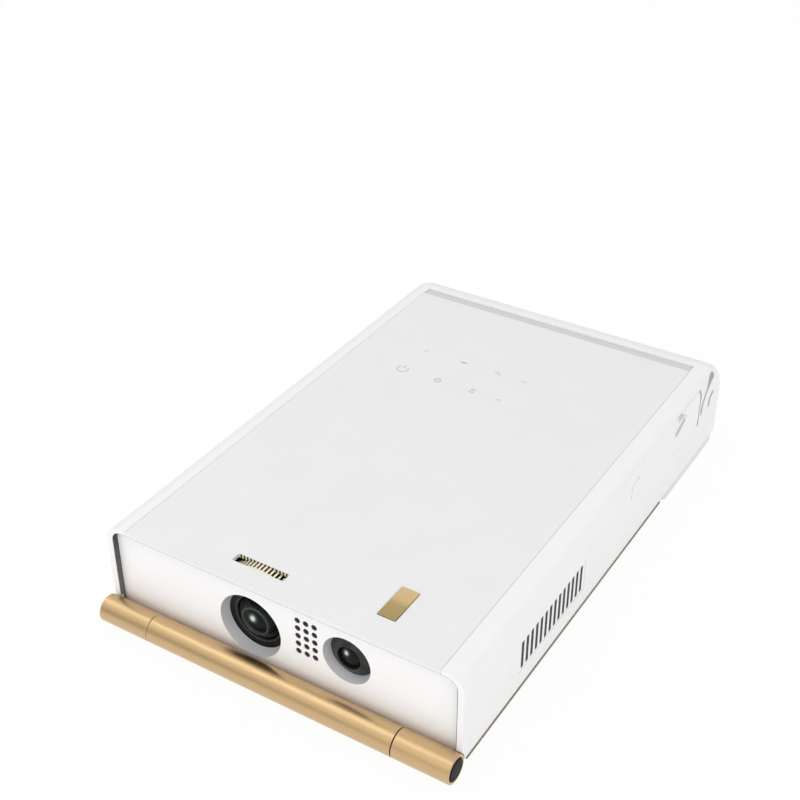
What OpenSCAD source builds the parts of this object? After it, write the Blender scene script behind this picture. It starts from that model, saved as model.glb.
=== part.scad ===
// Flat portable projector with a slim disc drive, a gold fold-out stand and a recessed lens panel.
// Millimetres, +Z up, front towards -Y. The origin is on the resting surface, under the middle of the whole.

/* [Body] */
// Width of the bay between the tray and the right side
side_bay = 21; // [19:0.5:30]
// Length of the bay in front of the drive
front_bay = 76.8; // [70:0.2:90]
// Length of the top plate behind the drive
rear_bay = 4.7; // [4:0.1:8]
// Thickness of the side and rear walls
wall = 2.4; // [2:0.1:3]
// Thickness of the top plate
deck_t = 1.6; // [1.2:0.1:2.2]
// Thickness of the ledge under the edge of the top plate
ledge_t = 1.6; // [1.2:0.1:2.2]
// Radius of the long upper edges
edge_r = 6.2; // [5:0.1:7.5]
// Radius of the rounded rear end
rear_r = 15.6; // [14:0.2:17]
// Distance of the top seam from the side
seam_in = 8.9; // [8:0.1:10]
// Height of the underside above the resting surface
floor_gap = 5.4; // [5.2:0.1:7]
// Thickness of the bottom cover
base_t = 1.6; // [1.3:0.1:1.9]
// Depth of the front panel behind the rim
panel_in = 2.5; // [2:0.1:3]
// Thickness of the front panel
panel_t = 2; // [1.6:0.1:2.4]

/* [Fits] */
// Seam between pieces that are fixed together
seam = 0.15; // [0.1:0.01:0.2]
// Clearance round a piece that moves
run = 0.3; // [0.25:0.01:0.4]
// Radial clearance of a shaft in its bore
fit = 0.05; // [0.02:0.01:0.09]

/* [Projection lens] */
// Centre of the lens, from the middle of the body
lens_x = -12.8; // [-14:0.2:-12]
// Radius of the opening in the front panel
lens_open_r = 13.2; // [12.4:0.1:14]
// Width of the panel under the opening
lens_sill = 2.1; // [1:0.1:3]
// Step from the opening to the lens barrel
tube_step = 2.3; // [2:0.1:3]
// Step from the lens barrel to the front glass
glass_step = 1.4; // [1.2:0.1:2.4]
// Depth of the opening's collar behind the panel's face
collar_len = 4.1; // [3.8:0.1:5]
// Radius of curvature of the front glass
glass_curve = 20; // [17:0.5:30]

/* [Focus ring] */
// Outer radius of the ring
focus_r = 21.1; // [19.5:0.1:25]
// Width of the ring along the lens
focus_w = 3.4; // [3:0.1:3.6]
// Distance of the ring's top below the top plate's face
focus_drop = 0.2; // [0.1:0.05:0.6]
// Length of the slot in the top plate
focus_slot = 22; // [20:0.5:23]
// Half angle of the knurled sector, in degrees
focus_half = 55; // [50:1:58]
// Angle between two ribs, in degrees
rib_step = 4.3; // [4:0.1:6]
// Width of the groove between two ribs
rib_gap = 0.9; // [0.6:0.05:1]
// Depth of the groove between two ribs
rib_deep = 1.3; // [0.8:0.1:1.8]

/* [Camera] */
// Centre of the camera, from the middle of the body
cam_x = 28; // [27.4:0.2:28.6]
// Height of the camera above the resting surface
cam_z = 24.7; // [24:0.1:26]
// Radius of the camera opening
cam_open_r = 9.7; // [9.5:0.1:9.9]
// Outer radius of the camera barrel
cam_tube_r = 8.6; // [8.3:0.1:8.7]
// Radius of the camera glass
cam_glass_r = 4.6; // [4.2:0.1:5.4]

/* [Sound holes] */
// Number of holes across
hole_cols = 3; // [2:1:3]
// Number of holes down
hole_rows = 5; // [4:1:5]
// Distance between two holes
hole_pitch = 3.5; // [3.2:0.1:3.6]
// Radius of a hole
hole_r = 1.2; // [0.8:0.05:1.3]

/* [Hinge and stand] */
// Radius of the hinge barrel
barrel_r = 5.4; // [5:0.1:5.5]
// Distance of the hinge axis ahead of the front rim
barrel_out = 4.2; // [3.9:0.1:4.4]
// Length of each fixed knuckle at the ends of the barrel
knuckle_len = 22.4; // [20:0.2:26]
// Radius of the hinge pins
pin_r = 1.5; // [1.2:0.1:1.8]
// Length that each hinge pin reaches into the turning barrel
pin_reach = 12; // [8:0.5:16]
// Radius of the black end caps
hinge_cap_r = 4.3; // [4:0.1:4.5]
// Thickness of the stand plate
stand_t = 1.4; // [1:0.1:1.5]
// Gap between the stand plate and the rear foot
stand_gap = 3.1; // [2:0.1:20]
// Distance of the notch in the plate's edge from the front rim
notch_y = 82; // [60:1:120]
// Length of the hinge leaves behind the front rim
leaf_len = 13; // [11:0.5:15]
// Thickness of the hinge leaves
leaf_t = 1.2; // [1:0.1:1.4]
// Depth of the stand plate's tongue in the barrel
tongue = 2.6; // [2:0.1:3]

/* [Rear end] */
// Width of the groove that holds the grey strip
groove_w = 5; // [4.5:0.1:5.5]
// Depth of the grey strip below the top
strip_drop = 0.8; // [0.5:0.1:1]
// Radius of the long curved sound slot at each end
arc_r = 12.6; // [12.2:0.1:12.8]
// Radius of the short curved sound slot at each end
arc_small_r = 4; // [3.6:0.1:5.5]
// Width of the curved sound slots
arc_w = 2.4; // [1.8:0.1:2.6]
// Depth of the curved sound slots
arc_deep = 1.7; // [1.2:0.1:1.8]
// Narrow gap between the rear foot and the housing
foot_gap = 0.3; // [0.2:0.05:0.6]
// Length of the rear foot along the body
foot_len = 57; // [50:0.5:58]
// Height of the rubber pads below the rear foot
pad_out = 0.6; // [0.4:0.05:0.8]

/* [Vents] */
// Distance between two vent slots
slot_pitch = 3.56; // [3.4:0.02:3.6]
// Width of a vent slot
slot_w = 2; // [1.6:0.1:2.2]
// Height of a vent slot
slot_h = 12.2; // [10:0.2:13]
// Height of the middle of the vents above the resting surface
vent_z = 19.6; // [19:0.1:20]
// Number of slots in the outlet
vent_n = 14; // [10:1:14]
// Number of slots in the intake
intake_n = 10; // [6:1:10]

/* [Disc drive] */
// Radius of the disc well
well_r = 61; // [60.5:0.1:67]
// Depth of the disc well
well_deep = 2.8; // [2.4:0.1:3]
// Thickness of the well's floor
well_t = 1.6; // [1.2:0.1:1.8]
// Width of the tray's front lip, beside the well
tray_lip = 4.2; // [3.6:0.1:8]
// Width of the tray's rear lip, beside the well
tray_back = 0.6; // [0.5:0.1:2]
// Width of the drive beside the well, on each side
drive_side = 3; // [2.9:0.1:6]
// Height of the drive
drive_h = 12.7; // [12.5:0.1:14]
// Thickness of the drive's sheet metal
sheet_t = 0.8; // [0.6:0.05:0.9]
// Height of the tray
tray_h = 7.6; // [7.4:0.1:7.8]
// Radius of the hub that holds a disc
hub_r = 7.4; // [7.3:0.02:7.44]
// Radius of the two guide rods
rod_r = 1; // [0.8:0.05:1.2]
// Radius of the feed screw
screw_r = 1.1; // [0.9:0.05:1.2]
// Length of the pickup sled along its travel
sled_len = 12; // [10:0.5:12.5]

/* [Controls] */
// Size of the square side button
button_w = 6.6; // [6:0.1:7]
// Height of the side button above the resting surface
button_z = 31.5; // [31:0.1:32]
// Length of the gold inlay along the body
accent_len = 16; // [12:0.5:17]
// Width of the gold inlay
accent_w = 7.2; // [6:0.1:8]

/* [Port cover] */
// Thickness of the port cover
door_t = 1.6; // [1.4:0.1:1.7]
// Length of the port cover
door_len = 26.2; // [26:0.1:27]
// Radius of the cover's hinge knuckle
door_knuckle_r = 1.1; // [1:0.05:1.2]

/* [Engine and blower] */
// Length of the light engine
engine_len = 30; // [26:0.5:30]
// Half width of the light engine
engine_half = 26; // [24:0.5:28]
// Width of the blower
blower_w = 37; // [35.5:0.5:38]
// Number of blades
blade_n = 22; // [12:1:26]
// Radius of the heat pipes
pipe_r = 2.5; // [2:0.1:2.8]

/* [Hidden] */
$fn = 96;
far = 400;
past = 1;

// Colours, as the photograph shows them
white_shell = [0.95, 0.95, 0.95];
white_deck = [0.92, 0.92, 0.92];
gold = [0.83, 0.66, 0.41];
black = [0.05, 0.05, 0.05];
dark = [0.16, 0.16, 0.17];
grey = [0.80, 0.81, 0.82];
steel = [0.72, 0.73, 0.75];
copper = [0.80, 0.48, 0.30];
board_green = [0.05, 0.30, 0.18];
glass_tint = [0.20, 0.24, 0.24, 0.6];

// Overall sizes, from what the housing holds
bezel_thick = 2.2;
tray_len = 2 * well_r + tray_lip + tray_back;
drive_w = 2 * (well_r + drive_side);
body_w = bezel_thick + tray_len + side_bay;
deck_len = front_bay + drive_w + rear_bay;
lens_z = floor_gap + lens_sill + lens_open_r;
body_h = lens_z + focus_r + focus_drop;

// Body levels and edges
half_w = body_w / 2;
in_x = half_w - wall;
base_z = floor_gap + base_t;
deck_z = body_h - deck_t;
ledge_z = deck_z - ledge_t;
seam_x = half_w - seam_in;
ledge_in = 2.6;
groove_end = deck_len + groove_w;
rear_c = groove_end + 1;
rear_y = rear_c + rear_r;
rear_in = rear_y - wall;
axis_z = barrel_r + 0.1;
mid_y = (rear_y - barrel_out - barrel_r) / 2;

// Front panel
panel_back = panel_in + panel_t;
collar_end = panel_in + collar_len;
lip_end = collar_end + 0.6;
collar_back_r = lens_open_r - 1;
cam_collar_end = panel_back + 2;
hole_side = 2.2;
hole_x = (lens_x + lens_open_r + cam_x - cam_open_r) / 2 + hole_side;
hole_z = 26.4;

// Projection lens and focus ring
lens_tube_r = lens_open_r - tube_step;
glass_r = lens_tube_r - glass_step;
focus_y = collar_end + 2.2;
focus_end = focus_y + focus_w;
bezel_r = collar_back_r + 0.4;
bezel_y = collar_end + seam;
bezel_t = 1.5;
mount_t = 0.95;
mount_r = lens_tube_r + fit + mount_t;
ring_r = mount_r + fit;
tube_front = collar_end + 0.4;
engine_y = 32;
tube_back = engine_y + 1;
focus_hub_r = ring_r + 0.7;
focus_web_out = focus_r - rib_deep - 1.2;
focus_web_in = focus_hub_r + 0.6;
focus_web_r = (focus_web_out - focus_web_in) / 2 - 0.6;
glass_front = tube_front + 0.3;
glass_back = glass_front + 3.7;

// Engine, blower and heatsink
engine_x0 = lens_x - engine_half;
engine_x1 = lens_x + engine_half;
engine_back = engine_y + engine_len;
engine_top = lens_z + 11.5;
pipe_ys = [engine_y + 14, engine_back - 2];
blower_x0 = engine_x1 + 3;
blower_x1 = blower_x0 + blower_w;
blower_y0 = 34;
blower_y1 = front_bay - 5.8;
blower_top = base_z + 12.5;
blower_wall = 1.2;
wheel_gap = 0.9;
wheel_r = (min(blower_w, blower_y1 - blower_y0)) / 2 - blower_wall - 2 * wheel_gap;
blower_x = blower_x0 + blower_wall + wheel_r + wheel_gap + run;
blower_y = (blower_y0 + blower_y1) / 2;
sink_x0 = blower_x1 + 2;
sink_x1 = in_x - 1.2;
sink_y0 = blower_y0 + 4;
sink_y1 = blower_y1 - 1;
sink_fin_top = base_z + 13.7;
sink_top = sink_fin_top + 2;
fin_t = 0.8;
fin_pitch = 2.6;

// Disc drive, seated on the bottom cover
drive_y0 = front_bay;
drive_y1 = drive_y0 + drive_w;
drive_y = (drive_y0 + drive_y1) / 2;
tray_x0 = -half_w + bezel_thick;
tray_x1 = tray_x0 + tray_len;
chassis_x0 = tray_x0 + 1.9;
chassis_x1 = tray_x1 + 0.7 + sheet_t;
disc_x = tray_x1 - well_r - tray_back;
tray_z = base_z + sheet_t + 0.6;
tray_top = tray_z + tray_h;
well_z = tray_top - well_deep;
well_under = well_z - well_t;
rail_t = 0.9;
tray_half = drive_w / 2 - sheet_t - rail_t - 2 * run;
rail_y = drive_w / 2 - sheet_t - run;
window_x0 = disc_x - 13;
window_x1 = tray_x1 - 1.7;
window_lo = 28;
window_hi = 21.5;
deck_steel = 1;
rod_y = 17;
rod_z = well_under + rod_r - 0.4;
rod_x0 = disc_x + 11.5;
post_t = 2.5;
screw_y = 24;
screw_z = well_under - 0.2;
motor_r = 2.6;
motor_x0 = disc_x + 1;
motor_x1 = disc_x + 11.3;
sled_x0 = disc_x + 16;
sled_z = well_under - 0.6;
sled_top = well_z + 0.3;
spin_base = well_z + 0.5;
turntable_z = spin_base + run;
turntable_t = 0.6;
hub_top = turntable_z + turntable_t + 2.4;
shaft_r = 1;
eject_y = drive_y + 48;
eject_z = base_z + drive_h / 2;
eject_w = 7.6;
eject_h = 2.2;
flange_t = 0.8;

// Mid frame and what stands on it
frame_z = base_z + drive_h + 0.5;
frame_t = 1.5;
frame_top = frame_z + frame_t;
frame_y0 = drive_y0 - 6.3;
frame_y1 = drive_y1 + 5.9;
post_r = 2.5;
post_ys = [drive_y0 - 2.7, drive_y1 + 3];
post_x = half_w - 9;
board_t = 1.6;
standoff = 3.3;
board_z = frame_top + standoff;
board_top = board_z + board_t;
board_x0 = 14;
board_x1 = in_x - 2.6;

// Port cover and sockets
door_y1 = groove_end - 13.6;
door_y0 = door_y1 - door_len;
door_x = half_w - door_t;
door_z0 = frame_top - 0.2;
door_z1 = body_h - 3;
door_relief = door_knuckle_r + 0.7;
notch_tilt = 69;
door_axis_x = half_w - door_knuckle_r;
port_front = door_x - 0.2;
port_deep = 12.7;
port_x0 = port_front - port_deep;
port_t = 1.2;
port_z = frame_top + 8.05;
port_top = port_z + port_t;
board_y0 = drive_y0 + 3.2;
board_y1 = door_y0 - 2.5;

// Board on the left of the engine
side_board_x0 = -in_x + 2.6;
side_board_x1 = engine_x0 - 8;
side_board_y0 = 18.4;
side_board_y1 = engine_back - 2;
side_board_z = base_z + standoff;
side_board_top = side_board_z + board_t;

// Cells, on the left of the main board, and the touch board above them
touch_t = 1.2;
chip_t = 1;
cell_x0 = -in_x + 6.6;
cell_x1 = board_x0 - 6;
cell_len = (drive_w - 12) / 2;
cell_top = deck_z - touch_t - chip_t - 3.5;
touch_y1 = deck_len - 35.5;
touch_y0 = touch_y1 - 36;

// Speakers, behind the drive
speaker_x0 = 24;
speaker_x1 = 60;
speaker_y0 = frame_y1 + 0.4;
speaker_y1 = speaker_y0 + 12;
speaker_top = ledge_z - 5.8;
socket_h = 5.8;
hdmi_w = 15;
usb_w = 14.2;
jack_w = 6.6;
port_y = door_y0 + 9.8;
jack_y = port_y + hdmi_w / 2 + jack_w / 2 + 0.8;

// Curved sound slots at the ends of the rounded rear
arc_y = rear_c + 1.8;
arc_z = body_h - 15.6;
arc_sink = 0.5;
arc_long = [92, 180];
arc_short = [100, 188];

// Screws of the bottom cover
screw_head_r = 2.2;
screw_shank_r = 1.1;
boss_w = 7;
boss_h = 4.2;
boss_d = 6;
thread_r = 0.85;
front_boss = 14;
right_bosses = [front_boss, drive_y0 + 27.2, drive_y1 - 38.8];
left_bosses = [front_boss, drive_y0 - 10.8];
rear_boss = rear_c;

// Gold inlay, side button
accent_x = cam_x + 10.2;
accent_y = 19.7;
accent_deep = 0.7;
accent_out = 0.35;
button_y = drive_y - 6.3;

// Camera, sound board
cam_nose_y = panel_in + 1.6;
cam_ring_y = panel_back + 1.5;
cam_glass_y = cam_nose_y - 0.3;
cam_glass_t = 2.4;
cam_curve = 10;
cam_board_y = 29;
sensor_y = panel_back + 2.1;

// Rear foot
foot_top = floor_gap - foot_gap;
foot_y1 = rear_y - 2.5;
foot_y0 = foot_y1 - foot_len;
foot_pad_x = half_w - 36;
foot_pad_y = foot_y1 - 12;
foot_pad_w = 40;
foot_pad_len = 12;
foot_pad_in = 0.8;

// Stand
stand_top = floor_gap - run;
stand_z = stand_top - stand_t;
stand_end = foot_y0 - stand_gap;
stand_front = 2.4;
stand_side = half_w - 0.4;
barrel_half = half_w - knuckle_len - run / 2;
tongue_half = barrel_half - 2;
tongue_y = sqrt(barrel_r * barrel_r - pow(axis_z - stand_z, 2)) - barrel_out - tongue;
cap_depth = 1.8;
pin_end = half_w - 4;
stand_pad_y = 22;
stand_pad_x = 30;

module whole() translate([0, -mid_y, 0]) children();

module block(x0, x1, y0, y1, z0, z1) {
    translate([x0, y0, z0]) cube([x1 - x0, y1 - y0, z1 - z0]);
}

module rod_x(x0, x1, y, z, r) {
    translate([x0, y, z]) rotate([0, 90, 0]) cylinder(h = x1 - x0, r = r);
}

module rod_y(x, y0, y1, z, r) {
    translate([x, y0, z]) rotate([-90, 0, 0]) cylinder(h = y1 - y0, r = r);
}

module rod_z(x, y, z0, z1, r) {
    translate([x, y, z0]) cylinder(h = z1 - z0, r = r);
}

module cone_y(x, y0, y1, z, r0, r1) {
    translate([x, y0, z]) rotate([-90, 0, 0]) cylinder(h = y1 - y0, r1 = r0, r2 = r1);
}

module ring_y(x, y0, y1, z, r_in, r_out) {
    difference() {
        rod_y(x, y0, y1, z, r_out);
        rod_y(x, y0 - past, y1 + past, z, r_in);
    }
}

module round_rect(w, h, r) {
    square([w - 2 * r, h], center = true);
    square([w, h - 2 * r], center = true);
    for (sx = [-1, 1], sy = [-1, 1])
        translate([sx * (w / 2 - r), sy * (h / 2 - r)]) circle(r = r, $fn = 48);
}

// Rounded block that lies flat: centre x, y, size w, d, between z0 and z1
module pad_z(x, y, w, d, r, z0, z1) {
    translate([x, y, z0]) linear_extrude(z1 - z0) round_rect(w, d, r);
}

// Rounded block seen from the side: centre y, z, size w, h, between x0 and x1
module pad_x(x0, x1, y, z, w, h, r) {
    translate([x0, y, z]) rotate([90, 0, 90]) linear_extrude(x1 - x0) round_rect(w, h, r);
}

// Front view of the housing: width w, between heights lo and hi, with upper corners r
module arch(w, lo, hi, r) {
    translate([-w / 2, lo]) square([w, hi - r - lo]);
    translate([-w / 2 + r, lo]) square([w - 2 * r, hi - lo]);
    for (s = [-1, 1]) translate([s * (w / 2 - r), hi - r]) circle(r = r);
}

// Side view of the housing: from y0 to y1, between heights lo and hi, rounded at the upper rear
module flank(y0, y1, lo, hi, r) {
    translate([y0, lo]) square([y1 - y0, hi - r - lo]);
    translate([y0, lo]) square([y1 - r - y0, hi - lo]);
    translate([y1 - r, hi - r]) circle(r = r);
}

module arch_y(y0, y1, w, lo, hi, r) {
    translate([0, y1, 0]) rotate([90, 0, 0]) linear_extrude(y1 - y0) arch(w, lo, hi, r);
}

module flank_x(w, y0, y1, lo, hi, r) {
    translate([-w / 2, 0, 0]) rotate([90, 0, 90]) linear_extrude(w) flank(y0, y1, lo, hi, r);
}

// Rounded rear end: half width w, radius r in side view, edges rounded by e, from lo to hi
module rear_end(w, r, e, lo, hi) {
    translate([0, rear_c, hi - r]) rotate([0, 90, 0]) rotate_extrude() {
        translate([0, -w]) square([r - e, 2 * w]);
        translate([0, -w + e]) square([r, 2 * (w - e)]);
        for (s = [-1, 1]) translate([r - e, s * (w - e)]) circle(r = e);
    }
    pad_z(0, rear_c, 2 * w, 2 * r, e, lo, hi - r);
}

// Outside of the housing, or the form that lies t below it
module housing_outside(t = 0) {
    arch_y(0, rear_c, body_w - 2 * t, floor_gap, body_h - t, edge_r - t);
    rear_end(half_w - t, rear_r - t, edge_r - t, floor_gap, body_h - t);
}

module housing_inside() {
    arch_y(-past, rear_c, 2 * in_x, floor_gap - past, ledge_z, edge_r - wall);
    rear_end(in_x, rear_r - wall, edge_r - wall, floor_gap - past, ledge_z);
}

function vent_len(n) = (n - 1) * slot_pitch + slot_w + 2 * vent_end;
vent_end = 2.2;
vent_front = 38.3;
vent_y = vent_front + vent_len(vent_n) / 2;
intake_y = 21 + vent_len(intake_n) / 2;
vent_h = slot_h + vent_end;

// Insert with upright slots, in the side wall at side = 1 or -1
module grille(side, y, n) {
    mirror([side > 0 ? 0 : 1, 0, 0]) difference() {
        union() {
            pad_x(in_x, half_w - 0.15, y, vent_z, vent_len(n) - 2 * seam, vent_h - 2 * seam, 0.8);
            pad_x(in_x - 0.8, in_x, y, vent_z, vent_len(n) + 2, vent_h + 2, 0.8);
        }
        for (i = [0 : n - 1])
            pad_x(in_x - 2, half_w + past, y + (i - (n - 1) / 2) * slot_pitch, vent_z, slot_w, slot_h, 0.6);
    }
}

module boss_at(x, y) {
    s = sign(x);
    x_in = x - s * boss_d;
    block(min(x_in, x), max(x_in, x), y - boss_w / 2, y + boss_w / 2, base_z, base_z + boss_h);
}

function boss_points() = concat(
    [for (y = right_bosses) [in_x, y]],
    [for (y = left_bosses) [-in_x, y]],
    [[in_x, rear_boss], [-in_x, rear_boss]]);

function screw_points() = [for (p = boss_points()) [p[0] - sign(p[0]) * boss_d / 2, p[1]]];

module main_shell() color(white_shell) whole() difference() {
    union() {
        difference() {
            housing_outside();
            housing_inside();
            // mouth of the front rim
            arch_y(-past, panel_back + seam, 2 * in_x, floor_gap - past, deck_z, edge_r - deck_t);
            // seat of the top plate and of the rear strip
            block(-seam_x, seam_x, -past, groove_end, deck_z, body_h + past);
            block(-seam_x + ledge_in, seam_x - ledge_in, -past, deck_len - 3, ledge_z - past, deck_z + past);
        }
        for (p = boss_points()) boss_at(p[0], p[1]);
    }
    // sound slots under the rear strip
    for (x = [-54, -42, -30, 30, 42, 54])
        pad_z(x, (deck_len + groove_end) / 2, 9, 2, 0.9, ledge_z - past, deck_z + past);
    for (p = screw_points()) rod_z(p[0], p[1], base_z - past, base_z + boss_h - 0.6, thread_r);
    rod_x(-half_w - past, half_w + past, -barrel_out, axis_z, barrel_r + run);
    // side openings
    pad_x(in_x - past, half_w + past, vent_y, vent_z, vent_len(vent_n), vent_h, 0.9);
    pad_x(-half_w - past, -in_x + past, intake_y, vent_z, vent_len(intake_n), vent_h, 0.9);
    block(-half_w - past, -in_x + past, drive_y0 - run, drive_y1 + run, base_z + 0.2, base_z + drive_h + 0.3);
    pad_x(in_x - past, half_w + past, button_y, button_z, button_w + 2 * run, button_w + 2 * run, 1.3);
    // pocket of the port cover, its hinge and the sockets behind it
    door_blank(door_x, seam);
    rod_z(door_axis_x, door_y1, door_z0 - seam, door_z1 + seam, door_relief);
    socket_hole(port_y, port_z - socket_h / 2, hdmi_w, socket_h);
    socket_hole(port_y, port_top + socket_h / 2, usb_w, socket_h);
    socket_hole(jack_y, port_z - socket_h / 2, jack_w, socket_h);
    socket_hole(jack_y, port_top + socket_h / 2, jack_w, socket_h);
    // curved sound slots
    difference() {
        for (s = [0, 1]) mirror([s, 0, 0]) arc_slots(arc_w);
        housing_outside(arc_deep);
    }
}

// Blank of a slot along an arc seen from the side: radius r, width w, between the two angles a
module arc_slot(r, w, a) {
    x = half_w - edge_r;
    intersection() {
        difference() {
            rod_x(x, half_w + past, arc_y, arc_z, r + w / 2);
            rod_x(x - past, half_w + 2 * past, arc_y, arc_z, r - w / 2);
        }
        translate([x - past, arc_y, arc_z]) rotate([90, 0, 90]) linear_extrude(far)
            polygon([[0, 0], for (t = [a[0], (a[0] + a[1]) / 2, a[1]]) far * [cos(t), sin(t)]]);
    }
    for (t = a) rod_x(x, half_w + past, arc_y + r * cos(t), arc_z + r * sin(t), w / 2);
}

module arc_slots(w) {
    arc_slot(arc_r, w, arc_long);
    arc_slot(arc_small_r, w, arc_short);
}

module socket_hole(y, z, w, h) {
    g = 0.2;
    block(port_x0 - g, door_x + past, y - w / 2 - g, y + w / 2 + g, z - h / 2 - g, z + h / 2 + g);
}

// Side view of the port cover, grown by a seam, from x outwards
module door_blank(x, grow) {
    z_mid = (door_z0 + door_z1) / 2;
    y_mid = (door_y0 + door_y1) / 2;
    pad_x(x, half_w + past, y_mid, z_mid, door_len + 2 * grow, door_z1 - door_z0 + 2 * grow, 2.4 + grow);
    block(x, half_w + past, y_mid, door_y1 + grow, door_z0 - grow, door_z1 + grow);
}

module top_plate() color(white_deck) whole() difference() {
    block(-seam_x + seam, seam_x - seam, 0, deck_len - seam, deck_z, body_h);
    pad_z(lens_x, focus_y + focus_w / 2, focus_slot, focus_w + 2 * run, 0.3, deck_z - past, body_h + past);
    pad_z(accent_x, accent_y, accent_w + 2 * seam, accent_len + 2 * seam, 0.5,
        body_h - accent_deep, body_h + past);
}

module accent_plate() color(gold) whole()
    pad_z(accent_x, accent_y, accent_w, accent_len, 0.4, body_h - accent_deep, body_h + accent_out);

module bottom_cover() color(white_shell) whole() difference() {
    union() {
        block(-in_x + seam, in_x - seam, lip_end + seam, rear_c, floor_gap, base_z);
        pad_z(0, rear_c, 2 * (in_x - seam), 2 * (rear_in - rear_c - seam), edge_r - wall, floor_gap, base_z);
        for (s = [-1, 1], y = post_ys) rod_z(s * post_x, y, base_z, frame_z, post_r);
        for (x = [side_board_x0 + 4, side_board_x1 - 4], y = [side_board_y0 + 2, side_board_y1 - 8])
            rod_z(x, y, base_z, side_board_z, 1.8);
    }
    for (p = screw_points()) {
        rod_z(p[0], p[1], floor_gap - past, base_z + past, screw_shank_r + 0.1);
        rod_z(p[0], p[1], floor_gap - past, floor_gap + 0.8, screw_head_r + 0.15);
    }
    for (s = [-1, 1], y = post_ys) rod_z(s * post_x, y, frame_z - 6, frame_z + past, thread_r);
}

module cover_screws() color(steel) whole() {
    for (p = screw_points()) difference() {
        union() {
            rod_z(p[0], p[1], floor_gap + 0.2, floor_gap + 0.8, screw_head_r);
            rod_z(p[0], p[1], floor_gap + 0.8, base_z + boss_h - 0.9, thread_r);
        }
        rod_z(p[0], p[1], floor_gap - past, floor_gap + 0.55, 0.8);
    }
}

module front_panel() color(white_shell) whole() difference() {
    union() {
        arch_y(panel_in, panel_back, 2 * (in_x - seam), floor_gap, deck_z - seam, edge_r - deck_t - seam);
        block(-in_x + seam, in_x - seam, panel_in, lip_end, floor_gap, base_z);
        intersection() {
            rod_y(lens_x, panel_in, collar_end, lens_z, lens_open_r + 0.7);
            block(-far, far, -far, far, floor_gap, far);
        }
        rod_y(cam_x, panel_in, cam_collar_end, cam_z, cam_open_r + 0.7);
        for (z = [hole_z - 9.5, hole_z + 9.5]) rod_y(hole_x, panel_in + 0.5, sensor_y, z, 1);
    }
    cone_y(lens_x, panel_in - 0.001, collar_end + 0.001, lens_z, lens_open_r, collar_back_r);
    cone_y(cam_x, panel_in - 0.001, cam_collar_end + 0.001, cam_z, cam_open_r, cam_tube_r + 0.2);
    for (i = [0 : hole_cols - 1], j = [0 : hole_rows - 1])
        rod_y(hole_x + (i - (hole_cols - 1) / 2) * hole_pitch, 0, panel_back + past,
            hole_z + (j - (hole_rows - 1) / 2) * hole_pitch, hole_r);
}

module sensor_board() color(board_green) whole() {
    block(hole_x - 5.6, hole_x + 5.6, sensor_y, sensor_y + 1.2, hole_z - 11, hole_z + 11);
    rod_y(hole_x, sensor_y - 1.2, sensor_y, hole_z + 4.5, 2.4);
    block(hole_x - 2.6, hole_x + 2.6, sensor_y - 1, sensor_y, hole_z - 7, hole_z - 2);
}

module lens_bezel() color(black) whole()
    ring_y(lens_x, bezel_y, bezel_y + bezel_t, lens_z, lens_tube_r + 0.2, bezel_r);

module lens_mount() color(dark) whole() difference() {
    union() {
        rod_y(lens_x, focus_y - 0.5, engine_y, lens_z, mount_r);
        rod_y(lens_x, focus_end + run, focus_end + run + 1.2, lens_z, focus_hub_r);
        intersection() {
            block(lens_x - 15, lens_x + 15, engine_y - 2.5, engine_y, base_z + 0.1, engine_top - 1);
            rod_y(lens_x, 0, engine_y, lens_z, 16);
        }
    }
    rod_y(lens_x, 0, engine_y + past, lens_z, lens_tube_r + fit);
}

module lens_barrel() color(black) whole() difference() {
    rod_y(lens_x, tube_front, tube_back, lens_z, lens_tube_r);
    rod_y(lens_x, 0, tube_front + 0.5, lens_z, glass_r + 0.9);
    rod_y(lens_x, 0, tube_front + 1, lens_z, glass_r + 0.5);
    rod_y(lens_x, 0, glass_back, lens_z, glass_r + 0.02);
    rod_y(lens_x, 0, far, lens_z, glass_r - 1.6);
}

module front_lens() color(glass_tint) whole() intersection() {
    rod_y(lens_x, glass_front - past, glass_back, lens_z, glass_r);
    translate([lens_x, glass_front + glass_curve, lens_z]) sphere(r = glass_curve);
}

module focus_ring() color(gold) whole()
translate([lens_x, focus_y, lens_z]) rotate([-90, 0, 0]) difference() {
    union() {
        cylinder(h = focus_w, r = focus_hub_r);
        intersection() {
            cylinder(h = focus_w, r = focus_r);
            linear_extrude(focus_w)
                polygon([[0, 0], [-far * tan(focus_half), -far], [far * tan(focus_half), -far]]);
        }
    }
    translate([0, 0, -past]) cylinder(h = focus_w + 2 * past, r = ring_r);
    for (a = [0 : rib_step : focus_half], s = [-1, 1])
        rotate([0, 0, s * (a + rib_step / 2)]) translate([-rib_gap / 2, -focus_r - past, -past])
            cube([rib_gap, rib_deep + past, focus_w + 2 * past]);
    for (a = [-36, -12, 12, 36])
        rotate([0, 0, a]) translate([0, -(focus_web_out + focus_web_in) / 2, -past])
            cylinder(h = focus_w + 2 * past, r = focus_web_r);
}

module camera_module() color(dark) whole() difference() {
    union() {
        block(cam_x - 9.6, cam_x + 9.6, 20, cam_board_y, base_z, cam_z + 10);
        block(cam_x - 11, cam_x + 11, cam_board_y, cam_board_y + 1.4, base_z, cam_z + 11);
    }
    rod_y(cam_x, 0, 26, cam_z, 5);
}

module camera_barrel() color(black) whole() difference() {
    union() {
        cone_y(cam_x, cam_nose_y, cam_ring_y, cam_z, cam_glass_r + 0.5, cam_tube_r - 0.3);
        rod_y(cam_x, cam_ring_y, 12, cam_z, cam_tube_r);
        rod_y(cam_x, 12, 20, cam_z, 6.6);
    }
    rod_y(cam_x, 0, cam_glass_y + cam_glass_t, cam_z, cam_glass_r + 0.02);
    rod_y(cam_x, 0, far, cam_z, cam_glass_r - 1.4);
}

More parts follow.
